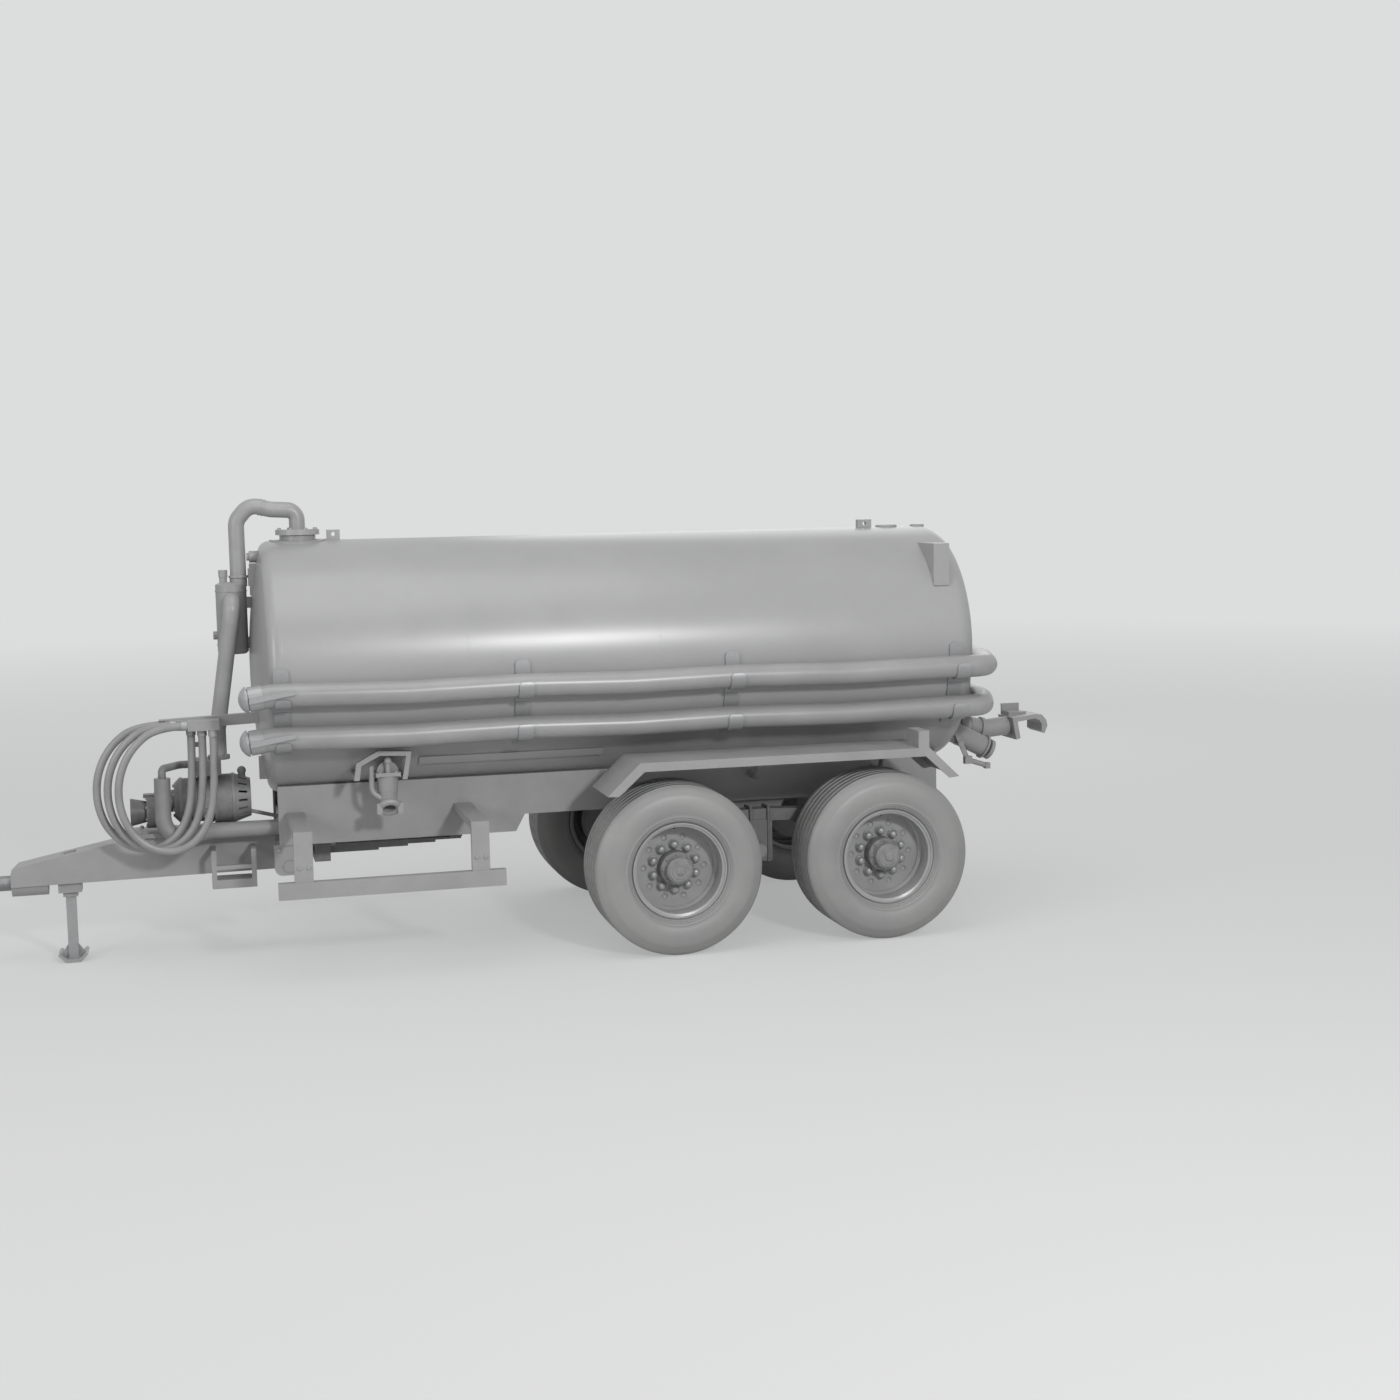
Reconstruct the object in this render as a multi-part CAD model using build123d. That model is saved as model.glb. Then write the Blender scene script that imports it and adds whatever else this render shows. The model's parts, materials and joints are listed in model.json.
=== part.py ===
from build123d import *
import os
from math import atan2, cos, pi, radians, sin, tan

os.makedirs("parts", exist_ok=True)

# Tandem-axle liquid manure tanker, parked on its drop leg. All sizes in millimetres.
# Row frame: +X to the rear, +Y to the right-hand side, +Z up, origin on the ground
# below the middle of the overall box. Along X every place is written from the middle
# of the bogie, and place() moves it to the row frame.

# clearances
seat_gap = 0.3
running_gap = 0.5

# wheels and bogie
axle_spacing = 1370
overall_width = 2440
tyre_diameter = 1072
tyre_width = 456
tyre_shoulder = 60
bead_radius = 284
rim_flange_radius = 299.6
rim_half_width = 195
rim_wall = 10
rim_well_depth = 18
disc_offset = 28
disc_thickness = 14
hand_hole_radius = 17
hand_hole_circle = 195
wheel_nut_circle = 143
wheel_nut_size = 33
wheel_nut_height = 44
wheel_nut_count = 10
hub_radius = 105
hub_length = 105
hub_cap_radius = 80
hub_cap_length = 72
hub_flange_radius = 168
spindle_radius = 45
drum_radius = 210
drum_width = 150
axle_beam = 120
spring_y = 560
spring_width = 100
leaf_thickness = 16
leaf_count = 5

# tank
tank_radius = 800
tank_bottom_z = 1004
tank_front_x = -3094
tank_rear_x = 1424
front_dish = 93
rear_dish = 175
front_corner = 70
rear_corner = 110

# frame
rail_y = 380
rail_web = 12
rail_flange = 80
rail_flange_thickness = 12
rail_front_x = -3064
rail_step_x = -1571
rail_rear_x = 1330
rail_bottom_z = 710
rail_shallow_z = 820
rail_top_z = 1082

# drawbar, towing eye and drop leg
drawbar_width = 200
drawbar_nose_x = -4690
drawbar_nose_top_z = 624
drawbar_bottom_z = 500
drawbar_top_z = 765
drawbar_knee_x = -3950
drawbar_rear_x = -3080
pivot_x = -3009
pivot_z = 573
pivot_pin_radius = 36
eye_x = -4970
eye_z = 513
eye_bore_radius = 25.5
eye_outer_radius = 65
eye_thickness = 36
shank_radius = 47
socket_radius = 85
socket_length = 215
leg_x = -4345
leg_size = 60
leg_sleeve_wall = 14
leg_sleeve_bottom_z = 410
foot_length = 180
foot_width = 200
foot_thickness = 22

# vacuum pump
pump_axis_z = 975
pump_front_x = -3690
pump_drum_x = -3445
pump_cowl_x = -3315
pump_rear_x = -3218
pump_drum_radius = 155
pump_body_radius = 140
pump_base_thickness = 25

# hoses and pipes
suction_hose_radius = 72.5
suction_hose_upper_drop = 104
suction_hose_lower_drop = 374
strap_thickness = 8
strap_width = 95
loop_radius = 24
loop_pitch_x = 66
loop_pitch_y = 62
pipe_radius = 50

half_track = overall_width / 2 - tyre_width / 2
axle_z = tyre_diameter / 2
front_reach = -eye_x + eye_outer_radius
rear_reach = 2280
bogie_x = (front_reach - rear_reach) / 2
tank_axis_z = tank_bottom_z + tank_radius
tank_top_z = tank_axis_z + tank_radius


def block(x0, x1, y0, y1, z0, z1):
    """Box between two corners."""
    return Pos((x0 + x1) / 2, (y0 + y1) / 2, (z0 + z1) / 2) * Box(x1 - x0, y1 - y0, z1 - z0)


def plate_y(outline, y0, y1):
    """Outline of (x, z) points made solid from y0 to y1."""
    face = make_face(Polyline(*[(x, y0, z) for x, z in outline], close=True))
    return extrude(face, amount=y1 - y0, dir=(0, 1, 0))


def rounded_plate(x0, x1, y0, y1, z0, z1, corner):
    """Upright plate from y0 to y1 with four rounded corners."""
    middle = Plane(origin=((x0 + x1) / 2, y0, (z0 + z1) / 2), x_dir=(1, 0, 0), z_dir=(0, 1, 0))
    return extrude(middle * RectangleRounded(x1 - x0, z1 - z0, corner), amount=y1 - y0)


def turned(steps, base, direction):
    """Body of revolution from (height, radius) steps, its axis at base along direction."""
    face = make_face(Polyline(*[(r, 0, h) for h, r in steps], close=True))
    body = revolve(face, Axis.Z, 360)
    return Plane(origin=base, z_dir=direction).location * body


def rod(start, end, radius):
    """Round bar from one point to another."""
    run = Vector(end) - Vector(start)
    return turned([(0, 0), (0, radius), (run.length, radius), (run.length, 0)], start, run)


def dome(base, direction, radius, height):
    """Spherical cap on a flat base, rising along direction."""
    sphere = (radius ** 2 + height ** 2) / (2 * height)
    half_turn = atan2(radius, sphere - height) / 2
    middle = (sphere * sin(half_turn), 0, height - sphere + sphere * cos(half_turn))
    face = make_face([
        ThreePointArc((radius, 0, 0), middle, (0, 0, height)),
        Line((0, 0, height), (0, 0, 0)),
        Line((0, 0, 0), (radius, 0, 0)),
    ])
    return Plane(origin=base, z_dir=direction).location * revolve(face, Axis.Z, 360)


def largest(shape):
    """The main solid that is left after a cut."""
    return shape.solids().sort_by(SortBy.VOLUME)[-1]


def bend_radii(points, share=0.45, limit=1e6):
    """Bend radius at each inner point, as large as its shorter run allows."""
    runs = [Vector(b) - Vector(a) for a, b in zip(points, points[1:])]
    radii = []
    for before, after in zip(runs, runs[1:]):
        turn = radians(before.get_angle(after))
        radii.append(min(limit, share * min(before.length, after.length) / tan(turn / 2)))
    return radii


def tube(points, radius, radii):
    """Round section swept along straight runs joined by tangent arcs."""
    path = FilletPolyline(*points, radius=radii)
    section = Plane(origin=path @ 0, z_dir=path % 0) * Circle(radius)
    return sweep(section, path=path)


def place(shape):
    """Move a shape from the bogie's frame to the row frame."""
    return Pos(bogie_x, 0, 0) * shape


def save(node, *shapes):
    """Write one sub-part, as one solid or as several that do not touch."""
    solids = [solid for shape in shapes for solid in shape.solids()]
    body = solids[0] if len(solids) == 1 else Compound(solids)
    export_step(place(body), f"parts/{node}.step")


def mirrored(shape):
    """The same piece on the other side of the machine."""
    return mirror(shape, about=Plane.XZ)


# tank

def head_edges(rim_x, way, dish, corner, radius):
    """Crown and knuckle arcs of a dished end; way is -1 for the front and 1 for the rear."""
    crown = (radius ** 2 + dish ** 2) / (2 * dish)
    crown_x = rim_x + way * (dish - crown)
    knuckle_r = radius - corner
    knuckle_x = crown_x + way * ((crown - corner) ** 2 - knuckle_r ** 2) ** 0.5
    angle = atan2(knuckle_r, abs(knuckle_x - crown_x))
    half_knuckle = (angle + pi / 2) / 2

    def crown_point(turn):
        return (crown_x + way * crown * cos(turn), 0, crown * sin(turn))

    def knuckle_point(turn):
        return (knuckle_x + way * corner * cos(turn), 0, knuckle_r + corner * sin(turn))

    return [
        ThreePointArc(crown_point(0), crown_point(angle / 2), crown_point(angle)),
        ThreePointArc(crown_point(angle), knuckle_point(half_knuckle), (knuckle_x, 0, radius)),
    ], knuckle_x


def tank_form(grow=0.0):
    """Cylinder with two dished ends and rounded corners, grown all round by a gap."""
    radius = tank_radius + grow
    front, front_tangent = head_edges(tank_front_x - grow, -1, front_dish, front_corner, radius)
    rear, rear_tangent = head_edges(tank_rear_x + grow, 1, rear_dish, rear_corner, radius)
    wall = Line((front_tangent, 0, radius), (rear_tangent, 0, radius))
    axis_line = Line((tank_front_x - grow - front_dish, 0, 0), (tank_rear_x + grow + rear_dish, 0, 0))
    profile = make_face(front + [wall] + rear + [axis_line])
    return Pos(0, 0, tank_axis_z) * revolve(profile, Axis.X, 360)


tank = tank_form()
tank_room = tank_form(seat_gap)
save("tank_shell", tank)

# tank fittings

filler_x = -2858
filler_neck_radius = 113
filler_flange_radius = 138
filler_flange_z = tank_top_z + 36
filler_flange_thickness = 33
fitting_sink = 30

neck_height = filler_flange_z - tank_top_z + fitting_sink
filler_neck = turned(
    [
        (0, 0),
        (0, filler_neck_radius),
        (neck_height, filler_neck_radius),
        (neck_height, filler_flange_radius),
        (neck_height + filler_flange_thickness, filler_flange_radius),
        (neck_height + filler_flange_thickness, 0),
    ],
    (filler_x, 0, tank_top_z - fitting_sink),
    (0, 0, 1),
)
pad_radius = 178
pad_thickness = 7
pad = tank_form(pad_thickness) & rod((filler_x, 0, tank_axis_z), (filler_x, 0, filler_flange_z), pad_radius)
save("filler_neck", (filler_neck + pad) - tank_room)

# lifting lugs: front edge, rear edge, height over the tank
lug_table = [(-2675, -2593, 63), (912, 1011, 52)]
lug_thickness = 40
lug_hole_radius = 14
# low covers on the roof: middle, radius, height over the tank
cover_table = [(1125, 75, 14), (1352, 50, 13)]


def lifting_lug(front, rear, height):
    """Upright plate with a hole for a lifting hook."""
    top = tank_top_z + height
    plate = block(front, rear, -lug_thickness / 2, lug_thickness / 2, tank_top_z - fitting_sink, top)
    middle = ((front + rear) / 2, -lug_thickness, top - 2 * lug_hole_radius)
    return plate - rod(middle, (middle[0], lug_thickness, middle[2]), lug_hole_radius)


def roof_cover(middle, radius, height):
    """Round cover with a chamfered rim."""
    rise = height + fitting_sink
    steps = [(0, 0), (0, radius), (rise - height / 2, radius), (rise, radius - height / 2), (rise, 0)]
    return turned(steps, (middle, 0, tank_top_z - fitting_sink), (0, 0, 1))


lugs = [lifting_lug(*row) - tank_room for row in lug_table]
covers = [roof_cover(*row) - tank_room for row in cover_table]
save("roof_fittings", *lugs, *covers)

marker_front_x = 1200
marker_rear_x = 1310
marker_outer_y = 0.8625 * tank_radius
marker_inner_y = 0.45 * tank_radius
marker_bottom_z = tank_axis_z + 0.525 * tank_radius
marker_top_z = tank_axis_z + 0.87 * tank_radius
marker_box = block(
    marker_front_x, marker_rear_x, marker_inner_y, marker_outer_y, marker_bottom_z, marker_top_z
) - tank_room
save("marker_boxes", marker_box, mirrored(marker_box))

# stiffening strips low on both flanks
strip_front_x = -2200
strip_rear_x = -1020
strip_thickness = 12
strip_low_z = tank_axis_z - 0.755 * tank_radius
strip_high_z = strip_low_z + 50
strip_radius = tank_radius + strip_thickness
strip_ring = rod((strip_front_x, 0, tank_axis_z), (strip_rear_x, 0, tank_axis_z), strip_radius)
strip_slice = block(strip_front_x, strip_rear_x, 0, strip_radius, strip_low_z, strip_high_z)
strip = (strip_ring - tank_room) & strip_slice
save("tank_strips", strip, mirrored(strip))

# siphon vessel and air pipes

vessel_x = -3285
vessel_radius = 96
vessel_bottom_z = tank_axis_z + 94
vessel_top_z = vessel_bottom_z + 452
vessel_dome = 14
vessel_neck_x = -3236
vessel_neck_radius = 54
vessel_neck_top_z = vessel_top_z + 24
relief_x = -3330
relief_radius = 28
relief_neck_radius = 24
relief_waist_z = vessel_top_z + 34
relief_top_z = vessel_top_z + 78
drain_radius = 26
drain_z = vessel_bottom_z + 118
drain_length = 24
bracket_half = 20
bracket_height = 70
bracket_table = [vessel_bottom_z + 32, vessel_top_z - 165]

vessel = turned(
    [
        (0, 0),
        (0, vessel_radius - vessel_dome),
        (vessel_dome, vessel_radius),
        (vessel_top_z - vessel_dome - vessel_bottom_z, vessel_radius),
        (vessel_top_z - vessel_bottom_z, vessel_radius - 2 * vessel_dome),
        (vessel_top_z - vessel_bottom_z, 0),
    ],
    (vessel_x, 0, vessel_bottom_z),
    (0, 0, 1),
)
vessel += rod(
    (vessel_neck_x, 0, vessel_top_z - 2 * vessel_dome), (vessel_neck_x, 0, vessel_neck_top_z), vessel_neck_radius
)
vessel += rod((relief_x, 0, vessel_top_z - vessel_dome), (relief_x, 0, relief_waist_z + 1), relief_neck_radius)
vessel += rod((relief_x, 0, relief_waist_z), (relief_x, 0, relief_top_z), relief_radius)
vessel += rod((vessel_x, 0, drain_z), (vessel_x - vessel_radius - drain_length, 0, drain_z), drain_radius)
for bracket_z in bracket_table:
    vessel += block(
        vessel_x + vessel_radius / 2, tank_front_x, -bracket_half, bracket_half, bracket_z, bracket_z + bracket_height
    ) - tank_room
save("siphon_vessel", vessel)

filler_top_z = filler_flange_z + filler_flange_thickness
gooseneck_points = [
    (filler_x, 0, filler_top_z),
    (filler_x, 0, filler_top_z + 122),
    (filler_x - 162, 0, filler_top_z + 130),
    (vessel_neck_x + 86, 0, filler_top_z + 162),
    (vessel_neck_x, 0, filler_top_z + 62),
    (vessel_neck_x, 0, vessel_neck_top_z),
]
gooseneck = tube(gooseneck_points, pipe_radius, bend_radii(gooseneck_points, 0.48, 95))
save("gooseneck_pipe", gooseneck)

down_pipe_z = vessel_top_z - 110
down_pipe_y = -165
down_pipe_foot = (-3405, -70, 1262)
down_pipe_points = [
    (vessel_x, 0, down_pipe_z),
    (vessel_x, down_pipe_y, down_pipe_z),
    (vessel_x - 16, down_pipe_y, down_pipe_z - 130),
    (down_pipe_foot[0], down_pipe_foot[1], down_pipe_foot[2] + 160),
    down_pipe_foot,
]
down_pipe = tube(down_pipe_points, pipe_radius, bend_radii(down_pipe_points, 0.48, 120))
vessel_room = rod((vessel_x, 0, vessel_bottom_z), (vessel_x, 0, vessel_top_z), vessel_radius + seat_gap)
save("down_pipe", down_pipe - vessel_room)

# hose arm with its stepped block, and the three hanging loops

arm_y0 = -330
arm_y1 = -265
arm_rear_x = tank_front_x - 36
arm_outline = [(-3760, 1526), (-3760, 1521), (-3720, 1521), (-3720, 1464), (arm_rear_x, 1484), (arm_rear_x, 1550)]
loop_block_rear_x = -3400
loop_block_z0 = 1464
loop_block_z1 = 1526
loop_first_y = -300
loop_exit_x = -3720
loop_exit_z = 1496
loop_block_half = loop_pitch_y / 2

# one loop from its exit to the underside of the block: x, z
loop_route = [
    (loop_exit_x, loop_exit_z),
    (-3900, loop_exit_z),
    (-4052, 1384),
    (-4138, 1216),
    (-4150, 1030),
    (-4092, 858),
    (-3960, 738),
    (-3796, 716),
    (-3664, 806),
    (-3596, 962),
    (-3578, 1128),
    (-3571, 1298),
    (-3571, loop_block_z0),
]

arm = plate_y(arm_outline, arm_y0, arm_y1) - tank_room
for number in range(3):
    middle_y = loop_first_y - number * loop_pitch_y
    arm += block(
        loop_exit_x + number * loop_pitch_x,
        loop_block_rear_x,
        middle_y - loop_block_half,
        middle_y + loop_block_half,
        loop_block_z0,
        loop_block_z1,
    )
save("hose_arm", arm)

for number in range(3):
    shift = number * loop_pitch_x
    middle_y = loop_first_y - number * loop_pitch_y
    loop_points = [(x + shift, middle_y, z) for x, z in loop_route]
    loop_radii = bend_radii(loop_points)
    loop = tube(loop_points, loop_radius, loop_radii)
    loop_path = FilletPolyline(*loop_points, radius=loop_radii)
    print("loop", number + 1, "length", round(loop_path.length), "radii", [round(r) for r in loop_radii])
    print("loop volume over section times length", loop.volume / (pi * loop_radius ** 2 * loop_path.length))
    save(f"hose_loop_{number + 1}", loop)

# frame

rail_step_run = 60
rail_outline = [
    (rail_front_x, rail_bottom_z),
    (rail_step_x, rail_bottom_z),
    (rail_step_x + rail_step_run, rail_shallow_z),
    (rail_rear_x, rail_shallow_z),
    (rail_rear_x, rail_top_z),
    (rail_front_x, rail_top_z),
]
rail_pocket = [
    (rail_front_x + rail_flange_thickness, rail_bottom_z + rail_flange_thickness),
    (rail_step_x - rail_flange_thickness / 2, rail_bottom_z + rail_flange_thickness),
    (rail_step_x + rail_step_run - rail_flange_thickness / 2, rail_shallow_z + rail_flange_thickness),
    (rail_rear_x - rail_flange_thickness, rail_shallow_z + rail_flange_thickness),
    (rail_rear_x - rail_flange_thickness, rail_top_z - rail_flange_thickness),
    (rail_front_x + rail_flange_thickness, rail_top_z - rail_flange_thickness),
]
rail_outer_y = rail_y + rail_web
rail_inner_y = rail_outer_y - rail_flange
rail = plate_y(rail_outline, rail_inner_y, rail_outer_y) - plate_y(rail_pocket, rail_inner_y, rail_y)
rail -= tank_room
save("frame_rails", rail, mirrored(rail))

# cross members: middle, bottom, top
cross_table = [
    (-3010, rail_bottom_z + rail_flange_thickness, 860),
    (-2300, rail_bottom_z + rail_flange_thickness, 860),
    (-1915, rail_bottom_z + rail_flange_thickness, 860),
    (-1250, rail_shallow_z + rail_flange_thickness, 950),
    (-400, rail_shallow_z + rail_flange_thickness, 950),
    (400, rail_shallow_z + rail_flange_thickness, 950),
    (1270, rail_shallow_z + rail_flange_thickness, 950),
]
cross_half = 40
members = [block(x - cross_half, x + cross_half, -rail_y, rail_y, z0, z1) for x, z0, z1 in cross_table]
save("cross_members", *members)

# pivot brackets under the rails' front ends, with the pin

bracket_y0 = 345
bracket_y1 = 375
bracket_pin_head = 12
bracket_front_x = pivot_x - 91
bracket_rear_x = pivot_x + 79
bracket_bottom_z = pivot_z - 57
bracket_corner = 50
pivot_bracket = rounded_plate(
    bracket_front_x, bracket_rear_x, bracket_y0, bracket_y1, bracket_bottom_z, rail_top_z, bracket_corner
)
pivot_bracket -= block(bracket_front_x, bracket_rear_x, bracket_y0, bracket_y1, rail_bottom_z, rail_top_z)
pin_head_y = bracket_y1 + bracket_pin_head
pivot_bracket += rod((pivot_x, bracket_y1, pivot_z), (pivot_x, pin_head_y, pivot_z), pivot_pin_radius)
save("pivot_brackets", pivot_bracket, mirrored(pivot_bracket))

# drawbar

drawbar_half = drawbar_width / 2
cross_tube_radius = 52
leg_sleeve_size = leg_size + 2 * seat_gap + 2 * leg_sleeve_wall
tail_rear_x = -2700
tail_z0 = 640
tail_z1 = 690
nose_bevel = 38
drawbar_outline = [
    (drawbar_nose_x, drawbar_bottom_z),
    (drawbar_nose_x, drawbar_nose_top_z - nose_bevel),
    (drawbar_nose_x + nose_bevel, drawbar_nose_top_z),
    (drawbar_knee_x, drawbar_top_z),
    (drawbar_rear_x, drawbar_top_z),
    (drawbar_rear_x, tail_z1),
    (tail_rear_x, tail_z1),
    (tail_rear_x, tail_z0),
    (pivot_x + 60, tail_z0),
    (pivot_x, pivot_z - 50),
    (drawbar_rear_x, 515),
]
drawbar = plate_y(drawbar_outline, -drawbar_half, drawbar_half)
drawbar += rod((drawbar_nose_x, 0, eye_z), (drawbar_nose_x + socket_length, 0, eye_z), socket_radius)
drawbar += rod(
    (pivot_x, -bracket_y0 + seat_gap, pivot_z), (pivot_x, bracket_y0 - seat_gap, pivot_z), cross_tube_radius
)
shank_depth = 130
drawbar -= rod((drawbar_nose_x - 1, 0, eye_z), (drawbar_nose_x + shank_depth, 0, eye_z), shank_radius + running_gap)
sleeve_half = leg_sleeve_size / 2
sleeve_room = sleeve_half + seat_gap
drawbar -= block(leg_x - sleeve_room, leg_x + sleeve_room, -sleeve_room, sleeve_room, 0, drawbar_top_z)
save("drawbar", drawbar)

eye = turned(
    [
        (-eye_thickness / 2, 0),
        (-eye_thickness / 2, eye_outer_radius - 8),
        (-eye_thickness / 2 + 8, eye_outer_radius),
        (eye_thickness / 2 - 8, eye_outer_radius),
        (eye_thickness / 2, eye_outer_radius - 8),
        (eye_thickness / 2, 0),
    ],
    (eye_x, 0, eye_z),
    (0, 0, 1),
)
neck_front_x = eye_x + eye_outer_radius + 25
eye_neck = turned(
    [(0, 0), (0, eye_thickness / 2 - 1), (60, eye_thickness / 2 - 1), (105, shank_radius), (105, 0)],
    (neck_front_x - 60, 0, eye_z),
    (1, 0, 0),
)
eye += eye_neck
eye += rod((neck_front_x + 45, 0, eye_z), (drawbar_nose_x + shank_depth - 1, 0, eye_z), shank_radius)
eye -= rod((eye_x, 0, eye_z - eye_thickness), (eye_x, 0, eye_z + eye_thickness), eye_bore_radius)
save("towing_eye", eye)

# leaf spring between the drawbar's tail and the frame

tail_leaf_thickness = 14
tail_spring_half = 45
# leaf front end, rear end, counted from the top leaf down
tail_leaf_table = [(-2930, -1880), (-2900, -2050), (-2880, -2230), (-2860, -2420)]
tail_leaves = [
    block(
        x0,
        x1,
        -tail_spring_half,
        tail_spring_half,
        tail_z0 - (number + 1) * tail_leaf_thickness,
        tail_z0 - number * tail_leaf_thickness,
    )
    for number, (x0, x1) in enumerate(tail_leaf_table)
]
tail_spring = tail_leaves[0]
for leaf in tail_leaves[1:]:
    tail_spring += leaf
clamp_front_x = -2835
clamp_rear_x = -2735
clamp_half = 120
clamp_z0 = tail_z0 - len(tail_leaf_table) * tail_leaf_thickness - 40
clamp_plate = 25
tail_clamp = block(clamp_front_x, clamp_rear_x, -clamp_half, clamp_half, clamp_z0, tail_z1 + clamp_plate)
tail_clamp -= block(
    clamp_front_x - 1,
    clamp_rear_x + 1,
    -drawbar_half - seat_gap,
    drawbar_half + seat_gap,
    tail_z0 - len(tail_leaf_table) * tail_leaf_thickness,
    tail_z1,
)
bearing_front_x = -1955
bearing_rear_x = -1875
bearing_half = 55
bearing_top_z = rail_bottom_z + rail_flange_thickness
tail_bearing = block(bearing_front_x, bearing_rear_x, -bearing_half, bearing_half, tail_z0, bearing_top_z)
save("drawbar_spring", tail_spring, tail_clamp, tail_bearing)

# drop leg and its sleeve

sleeve_top_z = drawbar_nose_top_z + 50
collar_half = 70
leg_play = 0.3
leg_hole = leg_size / 2 + leg_play
sleeve = block(
    leg_x - sleeve_half, leg_x + sleeve_half, -sleeve_half, sleeve_half, leg_sleeve_bottom_z, sleeve_top_z
)
sleeve += block(
    leg_x - collar_half, leg_x + collar_half, -collar_half, collar_half, drawbar_bottom_z - 60, drawbar_bottom_z
)
sleeve -= block(leg_x - leg_hole, leg_x + leg_hole, -leg_hole, leg_hole, 0, drawbar_top_z)
save("leg_sleeve", sleeve)

leg_top_z = leg_sleeve_bottom_z + 40
leg_half = leg_size / 2
leg = block(leg_x - leg_half, leg_x + leg_half, -leg_half, leg_half, foot_thickness / 2, leg_top_z)
foot_half = foot_length / 2
foot_flat = foot_half / 2
foot_rise = 48
foot_outline = [
    (leg_x - foot_half, foot_rise),
    (leg_x - foot_flat, 0),
    (leg_x + foot_flat, 0),
    (leg_x + foot_half, foot_rise),
    (leg_x + foot_half - 14, foot_rise + foot_thickness / 2),
    (leg_x + foot_flat - 8, foot_thickness),
    (leg_x - foot_flat + 8, foot_thickness),
    (leg_x - foot_half + 14, foot_rise + foot_thickness / 2),
]
leg += plate_y(foot_outline, -foot_width / 2, foot_width / 2)
# gussets between the leg and the foot's upturned ends
gusset_half = 5
gusset_top_z = 104
gusset_outline = [
    (leg_x - foot_half + 22, foot_rise),
    (leg_x - foot_flat, foot_thickness / 2),
    (leg_x + foot_flat, foot_thickness / 2),
    (leg_x + foot_half - 22, foot_rise),
    (leg_x + leg_half - 1, gusset_top_z),
    (leg_x - leg_half + 1, gusset_top_z),
]
leg += plate_y(gusset_outline, -gusset_half, gusset_half)
save("drop_leg", leg)

# step beside the drawbar

step_front_x = -3482
step_rear_x = -3208
step_outer_y = -300
step_strap = 30
step_bar = 10
step_top_z = 688
step_tread_z0 = 445
step_tread_z1 = 500
step_inner_y = -drawbar_half - 30
step = block(step_front_x, step_rear_x, step_outer_y, step_inner_y, step_tread_z0, step_tread_z1)
step -= block(
    step_front_x + step_bar,
    step_rear_x - step_bar,
    step_outer_y + step_bar,
    step_inner_y - step_bar,
    step_tread_z0 - 1,
    step_tread_z1 - step_bar,
)
for strap_x in (step_front_x, step_rear_x - step_strap):
    step += block(
        strap_x, strap_x + step_strap, step_outer_y, step_outer_y + step_bar, step_tread_z1 - 1, step_top_z
    )
    step += block(
        strap_x, strap_x + step_strap, step_outer_y, -drawbar_half - seat_gap, step_top_z - 2 * step_bar, step_top_z
    )
rung_z0 = 565
rung_z1 = 590
step += block(step_front_x, step_rear_x, step_outer_y, step_outer_y + step_strap, rung_z0, rung_z1)
save("step", step)

# vacuum pump

base_front_x = -3980
base_rear_x = -3290
base_half = 175
base_top_z = drawbar_top_z + pump_base_thickness
pump_base = block(base_front_x, base_rear_x, -base_half + 40, base_half, drawbar_top_z, base_top_z)
foot_table = [-3640, -3510]
foot_block = 50
foot_block_half = 110
foot_block_top_z = pump_axis_z - 60
for foot_x in foot_table:
    pump_base += block(
        foot_x, foot_x + foot_block, -foot_block_half, foot_block_half, base_top_z - 1, foot_block_top_z
    )
body_room = rod((base_front_x, 0, pump_axis_z), (base_rear_x, 0, pump_axis_z), pump_body_radius + seat_gap)
save("pump_base", pump_base - body_room)

pump_body = turned(
    [
        (0, 0),
        (0, pump_body_radius - 30),
        (30, pump_body_radius),
        (pump_drum_x - pump_front_x, pump_body_radius),
        (pump_drum_x - pump_front_x, pump_drum_radius),
        (pump_cowl_x - pump_front_x, pump_drum_radius),
        (pump_cowl_x - pump_front_x, 0),
    ],
    (pump_front_x, 0, pump_axis_z),
    (1, 0, 0),
)
save("pump_body", pump_body)

cowl_length = pump_rear_x - pump_cowl_x
cowl_wall = 12
cowl_end_radius = 122
cowl_slots = 16
cowl_inlet_radius = 40
pump_cowl = turned(
    [
        (0, pump_drum_radius - cowl_wall),
        (0, pump_drum_radius),
        (cowl_length, cowl_end_radius),
        (cowl_length, cowl_inlet_radius),
        (cowl_length - cowl_wall, cowl_inlet_radius),
        (cowl_length - cowl_wall, cowl_end_radius - cowl_wall),
    ],
    (pump_cowl_x, 0, pump_axis_z),
    (1, 0, 0),
)
slot_cutter = block(20, cowl_length - 2 * cowl_wall, -7, 7, cowl_end_radius - 20, pump_drum_radius + 20)
for number in range(cowl_slots):
    turn = Rot(number * 360 / cowl_slots, 0, 0)
    pump_cowl -= Pos(pump_cowl_x, 0, pump_axis_z) * (turn * slot_cutter)
# round-headed filler plug on top of the cowl
plug_x = -3268
plug_neck_radius = 23
plug_head_radius = 28
plug_head_z = 1147
plug_foot_z = pump_axis_z + pump_drum_radius - 30
pump_cowl += rod((plug_x, 0, plug_foot_z), (plug_x, 0, plug_head_z), plug_neck_radius)
pump_cowl += Pos(plug_x, 0, plug_head_z) * Sphere(plug_head_radius)
save("pump_cowl", pump_cowl)

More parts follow.
